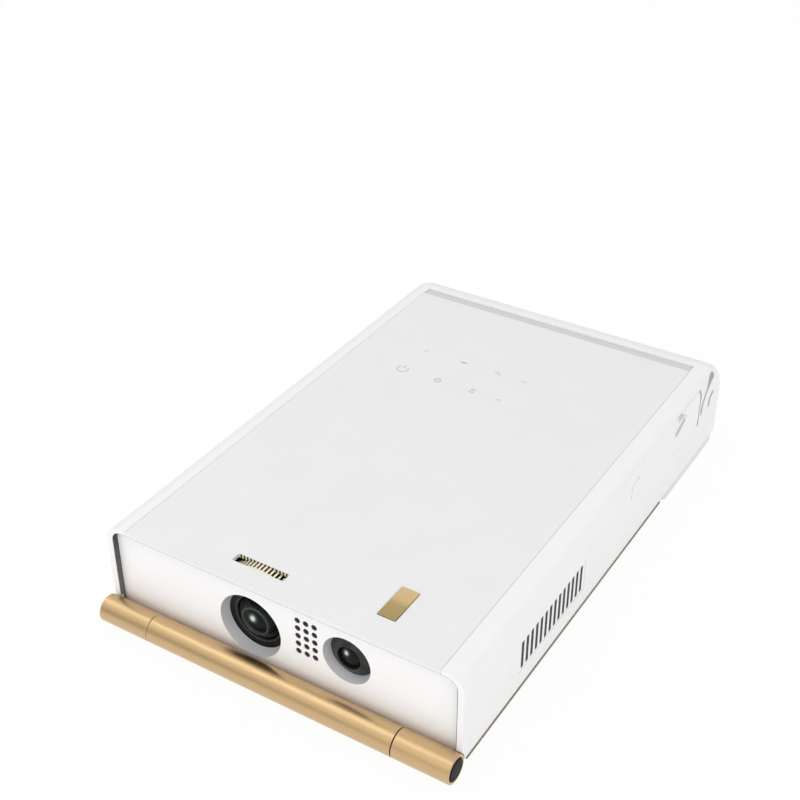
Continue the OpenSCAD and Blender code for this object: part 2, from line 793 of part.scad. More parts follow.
module camera_lens() color(glass_tint) whole() intersection() {
    rod_y(cam_x, cam_glass_y - past, cam_glass_y + cam_glass_t, cam_z, cam_glass_r);
    translate([cam_x, cam_glass_y + cam_curve, cam_z]) sphere(r = cam_curve);
}

module light_engine() color(dark) whole() difference() {
    union() {
        block(engine_x0, engine_x1, engine_y, engine_back, base_z, engine_top);
        block(engine_x0 + 6, engine_x1 - 6, engine_back, engine_back + 6, base_z, engine_top - 6);
        rod_x(engine_x0 - 6, engine_x0, (engine_y + engine_back) / 2, lens_z, 9);
        for (i = [0 : 4])
            block(engine_x0 + 4 + i * 10, engine_x0 + 6 + i * 10, engine_y + 4, engine_back - 4,
                engine_top, engine_top + 2);
    }
    rod_y(lens_x, engine_y - past, engine_y + 4, lens_z, lens_tube_r + 0.5);
    rod_y(lens_x, engine_y, engine_back - 4, lens_z, 6);
}

module heat_pipes() color(copper) whole()
    for (y = pipe_ys) rod_x(engine_x1, sink_x1 - 1, y, sink_top + pipe_r, pipe_r);

module lamp_heatsink() color(steel) whole() {
    block(sink_x0, sink_x1, sink_y0, sink_y1, sink_fin_top, sink_top);
    for (y = [sink_y0 : fin_pitch : sink_y1 - fin_t])
        block(sink_x0, sink_x1, y, y + fin_t, base_z, sink_fin_top + 0.001);
}

module blower_housing() color(dark) whole() {
    difference() {
        block(blower_x0, blower_x1, blower_y0, blower_y1, base_z, blower_top);
        rod_z(blower_x, blower_y, base_z + blower_wall, blower_top - blower_wall, wheel_r + wheel_gap);
        block(blower_x, blower_x1 + past, blower_y, blower_y + wheel_r + wheel_gap, base_z + blower_wall,
            blower_top - blower_wall);
        rod_z(blower_x, blower_y, base_z + 2, blower_top + past, wheel_r - 4);
    }
    rod_z(blower_x, blower_y, base_z + blower_wall - 0.001, blower_top - 3, shaft_r + 0.5);
}

module blower_impeller() color(black) whole() translate([blower_x, blower_y, base_z + blower_wall + 0.6]) {
    h = blower_top - base_z - 2 * blower_wall - 1.4;
    difference() {
        union() {
            cylinder(h = 0.9, r = wheel_r - 0.1);
            cylinder(h = h - 1, r = 6);
            for (i = [0 : blade_n - 1]) rotate([0, 0, i * 360 / blade_n])
                translate([5.5, 0, 0]) rotate([0, 0, 14]) cube([wheel_r - 6.4, 0.8, h]);
        }
        translate([0, 0, -past]) cylinder(h = h + 2 * past, r = shaft_r + 0.5 + fit);
    }
}

module driver_board() color(board_green) whole() {
    block(side_board_x0, side_board_x1, side_board_y0, side_board_y1, side_board_z, side_board_top);
    for (y = [24, 36, 48]) rod_z(side_board_x0 + 8, y, side_board_top, side_board_top + 7, 3.6);
    block(side_board_x1 - 8, side_board_x1 - 2, side_board_y0 + 4, side_board_y1 - 6, side_board_top,
        side_board_top + 4);
}

module mid_frame() color(steel) whole() difference() {
    union() {
        block(-in_x + 1.6, in_x - 2.1, frame_y0, frame_y1, frame_z, frame_top);
        for (x = [board_x0 + 4, board_x1 - 4], y = [board_y0 + 5, board_y1 - 5])
            rod_z(x, y, frame_top, board_z, 2);
        for (y = [door_y0 + 2, door_y1 + 1]) rod_z(port_x0 - 2.6, y, frame_top, port_z, 1.6);
    }
    for (s = [-1, 1], y = post_ys) rod_z(s * post_x, y, frame_z - past, frame_top + past, 1.2);
    pad_z((cell_x0 + cell_x1) / 2, drive_y, cell_x1 - cell_x0 - 14, drive_w - 38, 4,
        frame_z - past, frame_top + past);
    pad_z((board_x0 + board_x1) / 2, (board_y0 + board_y1) / 2, board_x1 - board_x0 - 22,
        board_y1 - board_y0 - 32, 4, frame_z - past, frame_top + past);
}

module main_board() color(board_green) whole() {
    block(board_x0, board_x1, board_y0, board_y1, board_z, board_top);
    block(board_x0 + 12, board_x0 + 44, board_y0 + 20, board_y0 + 48, board_top, board_top + 3);
    for (y = [board_y1 - 16, board_y1 - 32])
        block(board_x0 + 6, board_x0 + 20, y, y + 12, board_top, board_top + 1.2);
    for (y = [6, 12, 18]) rod_z(board_x0 + 6, board_y0 + y, board_top, board_top + 6, 2.4);
}

module button_switch() color(black) whole() {
    block(in_x - 6.4, in_x - 3.2, button_y - 4, button_y + 4, board_top, button_z + 3.5);
    rod_x(in_x - 3.2, in_x - 2.1, button_y, button_z, 1.5);
}

module side_button() color(white_shell) whole() {
    pad_x(in_x - 0.3, half_w + 0.2, button_y, button_z, button_w, button_w, 1);
    pad_x(in_x - 1.2, in_x - 0.3, button_y, button_z, button_w + 2.2, button_w + 2.2, 1);
}

module battery_pack() color([0.2, 0.35, 0.55]) whole() {
    for (s = [-1, 1])
        pad_z((cell_x0 + cell_x1) / 2, drive_y + s * (cell_len + 1) / 2, cell_x1 - cell_x0, cell_len, 3,
            frame_top, cell_top);
    block(cell_x1 + 1, cell_x1 + 3.5, drive_y - 30, drive_y + 30, frame_top, frame_top + 9);
    block(cell_x1 - 0.001, cell_x1 + 1, drive_y - 30, drive_y + 30, frame_top, frame_top + 2);
}

module touch_board() color(board_green) whole() {
    block(-48, 18, touch_y0, touch_y1, deck_z - touch_t, deck_z);
    block(-8, 6, touch_y0 + 12, touch_y0 + 22, deck_z - touch_t - chip_t, deck_z - touch_t);
}

module speaker() difference() {
    block(speaker_x0, speaker_x1, speaker_y0, speaker_y1, base_z, speaker_top);
    for (x = [speaker_x0 + 10, speaker_x1 - 10])
        rod_z(x, (speaker_y0 + speaker_y1) / 2, speaker_top - 1.4, far, 5.2);
}

module speaker_left() color(dark) whole() mirror([1, 0, 0]) speaker();
module speaker_right() color(dark) whole() speaker();

module port_board() color(board_green) whole()
    block(port_x0 - 4.6, in_x - 1, door_y0 - 0.4, door_y1 + 3, port_z, port_top);

module socket(y, z0, w, h_in, w_in, tongue_t) {
    z = z0 + socket_h / 2;
    difference() {
        block(port_x0, port_front, y - w / 2, y + w / 2, z0, z0 + socket_h);
        block(port_x0 + 1.5, port_front + past, y - w_in / 2, y + w_in / 2, z - h_in / 2, z + h_in / 2);
    }
    block(port_x0 + 1, port_front - 1.2, y - w_in / 2 + 1, y + w_in / 2 - 1,
        z - tongue_t / 2, z + tongue_t / 2);
}

module jack(y, z0, r) {
    difference() {
        block(port_x0, port_front, y - jack_w / 2, y + jack_w / 2, z0, z0 + socket_h);
        rod_x(port_x0 + 1.5, port_front + past, y, z0 + socket_h / 2, r);
    }
}

module hdmi_socket() color(steel) whole() socket(port_y, port_z - socket_h, hdmi_w, 4.6, 14, 1);
module usb_socket() color(steel) whole() socket(port_y, port_top, usb_w, 5, 12.5, 1.8);
module dc_socket() color(black) whole() {
    jack(jack_y, port_z - socket_h, 2.6);
    rod_x(port_x0 + 1, port_front - 1.5, jack_y, port_z - socket_h / 2, 1);
}
module audio_socket() color(black) whole() jack(jack_y, port_top, 1.8);

module port_cover() color(white_shell) whole() difference() {
    union() {
        intersection() {
            housing_outside();
            door_blank(door_x + 0.1, 0);
            block(0, far, 0, door_y1, 0, far);
        }
        rod_z(door_axis_x, door_y1, door_z0 + 2, door_z1 - 5, door_knuckle_r);
    }
    rod_z(door_axis_x, door_y1, door_z0 + 1, door_z1, 0.45);
    // slanted finger notch at the upper free corner
    translate([half_w + 2.2, door_y0 + 5.5, door_z1 - 5.2]) rotate([-notch_tilt, 0, 0])
        cylinder(h = 12, r = 2.9, center = true);
}

module sound_inserts() color(grey) whole()
    difference() {
        intersection() {
            for (s = [0, 1]) mirror([s, 0, 0]) arc_slots(arc_w - 2 * seam);
            housing_outside(arc_sink);
        }
        housing_outside(arc_deep);
    }

module rear_strip() color(grey) whole()
    block(-seam_x + seam, seam_x - seam, deck_len + seam, groove_end - seam, deck_z, body_h - strip_drop);

module vent_grille() color(white_shell) whole() grille(1, vent_y, vent_n);
module intake_grille() color(white_shell) whole() grille(-1, intake_y, intake_n);

module rear_foot() color(white_shell) whole() difference() {
    union() {
        pad_z(0, foot_y0 + foot_len / 2 - 6, body_w - 1, foot_len - 12, 2.5, pad_out, foot_top);
        pad_z(0, foot_y1 - 20, body_w - 1, 40, edge_r - 0.5, pad_out, foot_top);
        pad_z(0, foot_y0 + foot_len / 2, body_w - 30, foot_len - 12, 2.5, foot_top - 0.001, floor_gap);
    }
    for (s = [-1, 1])
        pad_z(s * foot_pad_x, foot_pad_y, foot_pad_w, foot_pad_len, foot_pad_len / 2 - 0.01,
            pad_out - past, pad_out + foot_pad_in);
    for (p = screw_points()) rod_z(p[0], p[1], 0, foot_top + past, screw_head_r + 0.4);
}

module foot_pads() color(dark) whole()
    for (s = [-1, 1])
        pad_z(s * foot_pad_x, foot_pad_y, foot_pad_w - 2 * seam, foot_pad_len - 2 * seam,
            foot_pad_len / 2 - 2 * seam, 0, pad_out + foot_pad_in);

module barrel_piece(x0, x1) rod_x(x0, x1, -barrel_out, axis_z, barrel_r);

module hinge_knuckles() color(gold) whole()
    for (s = [0, 1]) mirror([s, 0, 0]) difference() {
        union() {
            barrel_piece(half_w - knuckle_len + run / 2, half_w);
            block(half_w - knuckle_len + 0.6, half_w - 0.5, -barrel_out, leaf_len, floor_gap - leaf_t,
                floor_gap);
        }
        rod_x(half_w - cap_depth, half_w + past, -barrel_out, axis_z, hinge_cap_r + fit);
        rod_x(0, pin_end, -barrel_out, axis_z, pin_r);
    }

module hinge_pins() color(steel) whole()
    for (s = [0, 1]) mirror([s, 0, 0])
        rod_x(barrel_half - pin_reach, pin_end, -barrel_out, axis_z, pin_r);

module hinge_caps() color(black) whole()
    for (s = [0, 1]) mirror([s, 0, 0])
        rod_x(half_w - cap_depth, half_w + 0.3, -barrel_out, axis_z, hinge_cap_r);

module stand_barrel() color(gold) whole() difference() {
    barrel_piece(-barrel_half, barrel_half);
    for (s = [0, 1]) mirror([s, 0, 0])
        rod_x(barrel_half - pin_reach - 1, barrel_half + past, -barrel_out, axis_z, pin_r + fit);
    block(-tongue_half, tongue_half, tongue_y, 0, stand_z, stand_top);
    block(-tongue_half, tongue_half, -past, far, stand_z, stand_top);
}

module stand_plate() color(gold) whole() difference() {
    union() {
        block(-tongue_half, tongue_half, tongue_y, stand_front + 0.01, stand_z, stand_top);
        pad_z(0, (stand_front + stand_end) / 2, 2 * stand_side, stand_end - stand_front, 3,
            stand_z, stand_top);
    }
    // room for the hinge leaves
    for (s = [0, 1]) mirror([s, 0, 0])
        block(half_w - knuckle_len - 0.2, far, -far, leaf_len + 0.8, 0, far);
    // thinner front part of the edge, and the notch where it ends
    for (s = [0, 1]) mirror([s, 0, 0]) {
        block(stand_side - 3, far, 0, notch_y, stand_z - past, stand_z + 0.5);
        block(stand_side - 1.5, far, notch_y - 0.6, notch_y + 0.8, 0, far);
    }
}

module stand_pads() color(dark) whole()
    for (s = [-1, 1]) pad_z(s * stand_pad_x, stand_pad_y, 36, 10, 4.99, 0, stand_z);

module drive_chassis() color(steel) whole() difference() {
    block(chassis_x0, chassis_x1, drive_y0, drive_y1, base_z, base_z + drive_h);
    block(chassis_x0 - past, chassis_x1 - sheet_t, drive_y0 + sheet_t, drive_y1 - sheet_t,
        base_z + sheet_t, base_z + drive_h - sheet_t);
}

module tray_rails() color(steel) whole()
    for (s = [-1, 1])
        block(tray_x0 + 7, tray_x1 - 6, drive_y + s * (rail_y - rail_t / 2) - rail_t / 2,
            drive_y + s * (rail_y - rail_t / 2) + rail_t / 2, tray_z + 0.6, tray_z + 6);

module disc_tray() color(black) whole() difference() {
    block(tray_x0, tray_x1, drive_y - tray_half, drive_y + tray_half, tray_z, tray_top);
    rod_z(disc_x, drive_y, well_z, tray_top + past, well_r);
    // hollow underside
    block(tray_x0 + 5, tray_x1 - 1.7, drive_y - tray_half + 4, drive_y + tray_half - 4,
        tray_z - past, well_under);
    // window of the spindle and the pickup
    block(window_x0, window_x1, drive_y - window_lo, drive_y + window_hi, tray_z, tray_top);
    for (s = [-1, 1]) rod_x(window_x1 - past, tray_x1 - 0.5, drive_y + s * rod_y, rod_z, rod_r);
    // pocket of the eject button's flange
    block(tray_x0 - past, tray_x0 + 2, eject_y - eject_w / 2 - 1, eject_y + eject_w / 2 + 1,
        eject_z - eject_h / 2 - 1, eject_z + eject_h / 2 + 1);
}

module tray_bezel() color(white_shell) whole() difference() {
    pad_x(-half_w, tray_x0, drive_y, base_z + drive_h / 2 + 0.25, drive_w - 0.2, drive_h - 0.5, 0.8);
    pad_x(-half_w - past, tray_x0 + past, eject_y, eject_z, eject_w + 2 * run, eject_h + 2 * run, 0.7);
    rod_x(-half_w - past, tray_x0 + past, eject_y - 10, eject_z, 0.6);
}

module eject_button() color(white_shell) whole() {
    pad_x(-half_w - 0.4, tray_x0 + 0.1, eject_y, eject_z, eject_w, eject_h, 0.5);
    pad_x(tray_x0 + 0.1, tray_x0 + 0.1 + flange_t, eject_y, eject_z, eject_w + 1.4, eject_h + 1.4, 0.5);
}

module mech_frame() color(steel) whole() difference() {
    union() {
        block(disc_x - 16, window_x1, drive_y - window_lo - 3, drive_y + window_hi + 3,
            well_under - deck_steel, well_under);
        for (s = [-1, 1])
            block(rod_x0, rod_x0 + post_t, drive_y + s * rod_y - 2, drive_y + s * rod_y + 2,
                well_under - deck_steel, rod_z + 1.6);
    }
    block(rod_x0 + post_t, far, drive_y - window_lo, drive_y + window_hi, 0, far);
    block(motor_x0 - 0.2, rod_x0 + post_t + past, drive_y - screw_y - 2.9, drive_y - screw_y + 2.9, 0, far);
    for (s = [-1, 1]) rod_x(rod_x0, far, drive_y + s * rod_y, rod_z, rod_r);
}

module guide_rods() color(steel) whole()
    for (s = [-1, 1]) rod_x(rod_x0, tray_x1 - 0.5, drive_y + s * rod_y, rod_z, rod_r);

module spindle_motor() color(steel) whole() difference() {
    rod_z(disc_x, drive_y, well_under, spin_base, 9.5);
    rod_z(disc_x, drive_y, well_under - past, spin_base + past, shaft_r + fit);
}

module spindle_hub() color(steel) whole() {
    rod_z(disc_x, drive_y, well_under + 0.3, turntable_z + 0.001, shaft_r);
    rod_z(disc_x, drive_y, turntable_z, turntable_z + turntable_t, 11.5);
    difference() {
        rod_z(disc_x, drive_y, turntable_z + turntable_t - 0.001, hub_top, hub_r);
        for (a = [0 : 120 : 240]) translate([disc_x, drive_y, 0]) rotate([0, 0, a])
            block(hub_r - 2.2, hub_r + past, -1.2, 1.2, turntable_z + turntable_t + 0.6, hub_top + past);
    }
}

module feed_motor() color(steel) whole() {
    rod_x(motor_x0, motor_x1, drive_y - screw_y, screw_z, motor_r);
    difference() {
        block(motor_x0 + 2, motor_x1 - 2, drive_y - screw_y - 3.8, drive_y - screw_y + 3.8, well_under,
            well_under + 0.8);
        rod_x(motor_x0, motor_x1, drive_y - screw_y, screw_z, motor_r);
    }
}

module feed_screw() color(steel) whole()
    rod_x(motor_x1 + 0.1, window_x1 - 0.3, drive_y - screw_y, screw_z, screw_r);

module pickup_sled() color(dark) whole() difference() {
    union() {
        block(sled_x0, sled_x0 + sled_len, drive_y - 20, drive_y + 20, sled_z, sled_top);
        block(sled_x0 + 3, sled_x0 + 8, drive_y - 26.4, drive_y - 20 + 0.01, screw_z - 1.9, sled_top - 0.4);
        rod_z(sled_x0 + 8, drive_y, sled_top - 0.001, sled_top + 0.5, 2.2);
    }
    for (s = [-1, 1]) rod_x(0, far, drive_y + s * rod_y, rod_z, rod_r + fit);
    rod_x(0, far, drive_y - screw_y, screw_z, screw_r + fit);
}

main_shell();
top_plate();
accent_plate();
bottom_cover();
front_panel();
lens_bezel();
camera_module();
camera_barrel();
camera_lens();
sensor_board();
rear_strip();
vent_grille();
intake_grille();
rear_foot();
foot_pads();
cover_screws();
hinge_knuckles();
hinge_pins();
hinge_caps();
lens_mount();
light_engine();
heat_pipes();
lamp_heatsink();
blower_housing();
driver_board();
mid_frame();
main_board();
battery_pack();
touch_board();
speaker_left();
speaker_right();
port_board();
hdmi_socket();
usb_socket();
dc_socket();
audio_socket();
drive_chassis();
button_switch();
sound_inserts();
stand_barrel();
stand_plate();
stand_pads();
focus_ring();
lens_barrel();
front_lens();
blower_impeller();
disc_tray();
tray_bezel();
mech_frame();
spindle_motor();
guide_rods();
feed_motor();
tray_rails();
spindle_hub();
pickup_sled();
feed_screw();
eject_button();
side_button();
port_cover();
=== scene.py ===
"""Flat white projector with a disc tray: finishes, small pieces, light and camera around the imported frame."""
import math

import bmesh
import bpy
from mathutils import Matrix, Vector
from mathutils.geometry import tessellate_polygon


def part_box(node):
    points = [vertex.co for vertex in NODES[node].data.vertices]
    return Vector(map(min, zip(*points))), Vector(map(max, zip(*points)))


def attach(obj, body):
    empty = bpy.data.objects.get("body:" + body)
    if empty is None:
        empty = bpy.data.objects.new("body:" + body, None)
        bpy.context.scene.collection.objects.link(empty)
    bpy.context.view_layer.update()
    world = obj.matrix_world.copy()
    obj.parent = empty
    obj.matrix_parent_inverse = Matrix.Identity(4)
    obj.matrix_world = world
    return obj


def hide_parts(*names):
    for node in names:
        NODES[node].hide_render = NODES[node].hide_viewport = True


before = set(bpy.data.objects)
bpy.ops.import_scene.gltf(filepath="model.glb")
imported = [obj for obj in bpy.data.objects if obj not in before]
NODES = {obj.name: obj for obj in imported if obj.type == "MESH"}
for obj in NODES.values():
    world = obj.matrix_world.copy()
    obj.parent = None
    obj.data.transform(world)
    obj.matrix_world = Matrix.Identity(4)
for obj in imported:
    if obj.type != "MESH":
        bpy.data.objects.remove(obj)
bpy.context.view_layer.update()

MM = 0.001

# Camera: place in metres, angles in degrees, lens and sensor in millimetres
CAMERA_PLACE = (0.221365, -0.383530, 0.351401)
CAMERA_AZIMUTH = 31.9566
CAMERA_ELEVATION = 33.3690
CAMERA_ROLL = -0.1720
CAMERA_LENS = 61.3254
CAMERA_SENSOR = 36.0

# Seam between fixed pieces, in millimetres
SEAM = 0.15

# Radii of the two lens openings, in metres
LENS_HOLE, CAM_HOLE = 13.2 * MM, 9.7 * MM

# Sound holes, in millimetres: pitch, and height of the middle of their block
HOLE_PITCH, HOLES_Z = 3.5, 26.4

# The vents' slots, in millimetres: pitch, width and height
SLOT_PITCH, SLOT_W, SLOT_H = 3.56, 2.0, 12.2
# Length of a grille, less the pitches from its first slot to its last
SLOT_ENDS = 8.4

# Edges that turn by more than this many degrees aren't shaded smooth, and are the ones that are rounded
SHARP = 34

WHITE = (1.0, 1.0, 1.0)
# Level of the room's light
ROOM_LIGHT = 0.84
# Share of the floor that shows as plain white: the rest of it keeps the shadow
FLOOR_WHITE = 0.94

# What metal mirrors, from the horizon up, as (height, colour) stops
SKY = [(0.0, (0.34, 0.32, 0.29)), (0.22, (0.42, 0.40, 0.37)), (0.6, WHITE)]

# Soft boxes: direction from the object, distance, width and height in metres, and brightness
LAMPS = {
    "key": ((-0.442, -0.232, 0.866), 0.9, (0.6, 0.24), 1.6),
    "right_fill": ((0.9, -0.3, 0.5), 1.2, (0.5, 0.5), 1.3),
    "front_fill": ((0.1, -0.86, 0.5), 1.3, (0.6, 0.4), 1.8),
    "front_low": ((0.15, -0.97, 0.16), 1.2, (0.9, 0.2), 1.5),
}
LAMP_AIM = Vector((0, 0, 0.02))


# ---------------------------------------------------------------- places, from the frame

def middle(node):
    low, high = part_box(node)
    return (low + high) / 2


def on_rim(point):
    """The point of the rim's plane that lies straight ahead of a point."""
    return Vector((point.x, RIM_Y, point.z))


def over_disc(z):
    """The point of the disc's axis at a height."""
    return Vector((DISC.x, DISC.y, z))


RIM_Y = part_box("main_shell")[0].y
TOP_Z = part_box("top_plate")[1].z
DECK_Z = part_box("top_plate")[0].z
IN_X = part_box("front_panel")[1].x + SEAM * MM
LENS = on_rim(middle("lens_bezel"))
CAM = on_rim(middle("camera_lens"))
HOLES = Vector((middle("sensor_board").x, RIM_Y, HOLES_Z * MM))
DISC = middle("spindle_motor")
PICKUP = Vector((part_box("pickup_sled")[0].x + 8 * MM, DISC.y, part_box("pickup_sled")[1].z))


# ---------------------------------------------------------------- materials

def colour_ramp(tree, field, stops):
    """Colours along a field, as (position, colour) stops in rising order."""
    ramp = tree.nodes.new("ShaderNodeValToRGB")
    marks = ramp.color_ramp.elements
    while len(marks) < len(stops):
        marks.new(0.5)
    for mark, (place, colour) in zip(marks, stops):
        mark.position = place
        mark.color = (*colour, 1.0)
    tree.links.new(field, ramp.inputs["Fac"])
    return ramp.outputs["Color"]


class Finish:
    """A procedural material: one shader, and fields over the piece that vary it."""

    def __init__(self, name, colour, roughness, metallic=0.0, **sockets):
        self.material = bpy.data.materials.new(name)
        self.material.use_nodes = True
        self.tree = self.material.node_tree
        self.shader = self.tree.nodes["Principled BSDF"]
        self.shader.inputs["Base Color"].default_value = (*colour, 1.0)
        self.shader.inputs["Roughness"].default_value = roughness
        self.shader.inputs["Metallic"].default_value = metallic
        for key, value in sockets.items():
            self.shader.inputs[key.replace("_", " ")].default_value = value
        self.coordinates = self.tree.nodes.new("ShaderNodeTexCoord").outputs["Object"]

    def node(self, kind, **inputs):
        made = self.tree.nodes.new(kind)
        for key, value in inputs.items():
            made.inputs[key.replace("_", " ")].default_value = value
        return made

    def join(self, source, target):
        self.tree.links.new(source, target)

    def field(self, size, stretch=(1, 1, 1), kind="ShaderNodeTexNoise"):
        """Texture whose features are about size metres across, longer along an axis by its stretch."""
        mapping = self.node("ShaderNodeMapping")
        mapping.inputs["Scale"].default_value = [1 / (size * s) for s in stretch]
        self.join(self.coordinates, mapping.inputs["Vector"])
        texture = self.node(kind, Scale=1.0)
        if "Detail" in texture.inputs:
            texture.inputs["Detail"].default_value = 2.0
        self.join(mapping.outputs["Vector"], texture.inputs["Vector"])
        return texture.outputs[0]

    def slope(self, axis, start, end):
        """0 to 1 along an axis of the row frame, from start to end in metres."""
        split = self.node("ShaderNodeSeparateXYZ")
        self.join(self.coordinates, split.inputs["Vector"])
        return self.span(split.outputs[axis], start, end)

    def vector(self, operation, source, constant):
        made = self.node("ShaderNodeVectorMath")
        made.operation = operation
        made.inputs[1].default_value = constant
        self.join(source, made.inputs[0])
        return made.outputs["Vector"]

    def reach(self, centre, start, end, mask=(1, 1, 1)):
        """0 to 1 with the distance from a centre, from start to end in metres; mask leaves axes out."""
        away = self.vector("MULTIPLY", self.vector("SUBTRACT", self.coordinates, centre), mask)
        size = self.node("ShaderNodeVectorMath")
        size.operation = "LENGTH"
        self.join(away, size.inputs[0])
        return self.span(size.outputs["Value"], start, end)

    def span(self, value, start, end, low=0.0, high=1.0):
        """low to high, as a value goes from start to end."""
        made = self.node("ShaderNodeMapRange", From_Min=start, From_Max=end, To_Min=low, To_Max=high)
        self.join(value, made.inputs["Value"])
        return made.outputs["Result"]

    def combine(self, operation, first, second):
        made = self.node("ShaderNodeMath")
        made.operation = operation
        self.join(first, made.inputs[0])
        self.join(second, made.inputs[1])
        return made.outputs[0]

    def bands(self, field, stops):
        """Colours the surface along a field, as (position, colour) stops."""
        self.join(colour_ramp(self.tree, field, stops), self.shader.inputs["Base Color"])

    def tint(self, field, colour_a, colour_b, low=0.3, high=0.7):
        self.bands(field, [(low, colour_a), (high, colour_b)])

    def rough(self, field, low, high):
        self.join(self.span(field, 0.3, 0.7, low, high), self.shader.inputs["Roughness"])

    def bump(self, field, depth, strength=0.5):
        made = self.node("ShaderNodeBump", Strength=strength, Distance=depth)
        self.join(field, made.inputs["Height"])
        self.join(made.outputs["Normal"], self.shader.inputs["Normal"])

    def grain(self, field, low, high, depth, strength):
        """One field that varies both the gloss, between two roughnesses, and the relief."""
        self.rough(field, low, high)
        self.bump(field, depth, strength)

    def spark_grain(self, roughness, size=0.00035, depth=0.00001):
        """The fine relief and cloudy gloss of a moulded face."""
        self.rough(self.field(0.006), roughness - 0.04, roughness + 0.05)
        self.bump(self.field(size), depth)


def shade(colour, factor):
    return tuple(min(1.0, c * factor) for c in colour)


def moulded(name, colour, roughness, grain=0.00035, depth=0.00001, spread=0.012, **sockets):
    """Injection moulded plastic: spark eroded grain, cloudy gloss and a trace of tone."""
    made = Finish(name, colour, roughness, **sockets)
    made.tint(made.field(0.02), shade(colour, 1 - spread), shade(colour, 1 + spread / 2))
    made.spark_grain(roughness, grain, depth)
    return made.material


def anodised(name, colour, roughness, stretch=(1, 1, 1), spread=0.03, **sockets):
    """Anodised aluminium: fine drawn grain along one axis."""
    made = Finish(name, colour, roughness, metallic=1.0, **sockets)
    made.tint(made.field(0.012, stretch), shade(colour, 1 - spread), shade(colour, 1 + spread))
    made.grain(made.field(0.00025, stretch), roughness - 0.05, roughness + 0.07, 0.000003, 0.3)
    return made.material


def sheet_metal(name, colour, roughness, stretch=(30, 1, 1), spread=0.06):
    """Bare or plated metal, brushed along the stretched axis, with faint clouding."""
    made = Finish(name, colour, roughness, metallic=1.0)
    made.tint(made.field(0.008), shade(colour, 1 - spread), shade(colour, 1 + spread))
    made.grain(made.field(0.00015, stretch), roughness - 0.08, roughness + 0.1, 0.000004, 0.4)
    return made.material


def solder_mask(name, colour):
    """Circuit board: green mask, with raised tracks and round pads under it."""
    made = Finish(name, colour, 0.32, Coat_Weight=0.3)
    tracks = made.field(0.0016, (6, 1, 1), "ShaderNodeTexVoronoi")
    made.tint(tracks, shade(colour, 1.9), colour, 0.05, 0.22)
    made.rough(made.field(0.003), 0.26, 0.4)
    made.bump(tracks, 0.00002)
    return made.material


def rubber(name, colour):
    """Rubber with a pebbled face."""
    made = Finish(name, colour, 0.75)
    made.tint(made.field(0.005), shade(colour, 0.85), shade(colour, 1.2))
    made.grain(made.field(0.0006, kind="ShaderNodeTexVoronoi"), 0.66, 0.86, 0.00005, 0.7)
    return made.material


def wrap_film(name, colour):
    """Shrink wrap over cells: glossy film with slack wrinkles."""
    made = Finish(name, colour, 0.28)
    made.tint(made.field(0.01), shade(colour, 0.9), shade(colour, 1.15))
    made.grain(made.field(0.004, (4, 1, 1)), 0.2, 0.38, 0.0001, 0.4)
    return made.material


def coated_glass(name, centre, start, end, mask, stops):
    """Coated optics seen from outside: green black, with painted reflections and highlights coloured by the
    distance from a centre.
    """
    made = Finish(name, (0.006, 0.009, 0.008), 0.06, IOR=1.2)
    made.bands(made.reach(centre, start, end, mask), stops)
    made.rough(made.field(0.002), 0.03, 0.09)
    made.bump(made.field(0.0012), 0.000001, 0.2)
    return made.material


def glass_with_painted_ring(name, centre, radius):
    """Dark glass with a painted reflection as a faint green ring, and a painted highlight on its rim."""
    stops = [(0.0, (0.003, 0.005, 0.004)), (0.30, (0.016, 0.022, 0.020)), (0.52, (0.003, 0.004, 0.004)),
             (0.93, (0.002, 0.002, 0.002)), (1.0, (0.02, 0.022, 0.022))]
    return coated_glass(name, centre, 0.45 * radius, radius, (1, 0, 1), stops)


def glass_with_painted_glint(name, place, size):
    """Dark glass with a painted highlight: a soft pale glint about a place."""
    stops = [(0.0, (0.80, 0.85, 0.82)), (0.30, (0.55, 0.60, 0.57)), (0.60, (0.06, 0.08, 0.07)),
             (1.0, (0.006, 0.010, 0.009))]
    return coated_glass(name, place, 0.0, size, (1, 1, 1), stops)


def gold_knurl(name):
    """Pale gold wheel, with painted shade down in its grooves."""
    made = Finish(name, (0.90, 0.82, 0.56), 0.34, metallic=0.35)
    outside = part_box("focus_ring")[1].z - LENS.z
    # Painted shade in the grooves: brown to near black below the knurl's outside
    depth = made.reach(LENS, outside - 1.1 * MM, outside - 0.25 * MM, (1, 0, 1))
    made.bands(depth, [(0.0, (0.045, 0.028, 0.012)), (0.55, (0.16, 0.11, 0.05)),
                       (0.85, (0.86, 0.79, 0.54)), (1.0, (0.93, 0.88, 0.66))])
    made.grain(made.field(0.0003, (1, 12, 1)), 0.28, 0.42, 0.000004, 0.3)
    return made.material


def panel_white(name):
    """Glossy white, with painted shade: grey on the walls of the two lens openings."""
    made = Finish(name, (0.95, 0.945, 0.945), 0.4)
    lens_wall_shade = made.reach(LENS, LENS_HOLE + 0.12 * MM, LENS_HOLE - 0.02 * MM, (1, 0, 1))
    cam_wall_shade = made.reach(CAM, CAM_HOLE + 0.12 * MM, CAM_HOLE - 0.02 * MM, (1, 0, 1))
    # Painted shade on the white walls of the two lens openings
    made.bands(made.combine("MAXIMUM", lens_wall_shade, cam_wall_shade),
               [(0.0, (0.95, 0.945, 0.95)), (1.0, (0.62, 0.615, 0.63))])
    made.spark_grain(0.4, depth=0.000004)
    return made.material


def accent_gold(name):
    """Gold inlay, drawn lengthwise, paler towards the rear and olive towards the front."""
    made = Finish(name, (0.60, 0.41, 0.20), 0.42, metallic=1.0)
    low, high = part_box("accent_plate")
    made.bands(made.slope("Y", low.y, high.y),
               [(0.0, (0.44, 0.33, 0.15)), (0.45, (0.50, 0.38, 0.18)), (0.6, (0.68, 0.50, 0.26)),
                (1.0, (0.74, 0.55, 0.30))])
    made.grain(made.field(0.00025, (1, 40, 1)), 0.38, 0.48, 0.000003, 0.3)
    return made.material


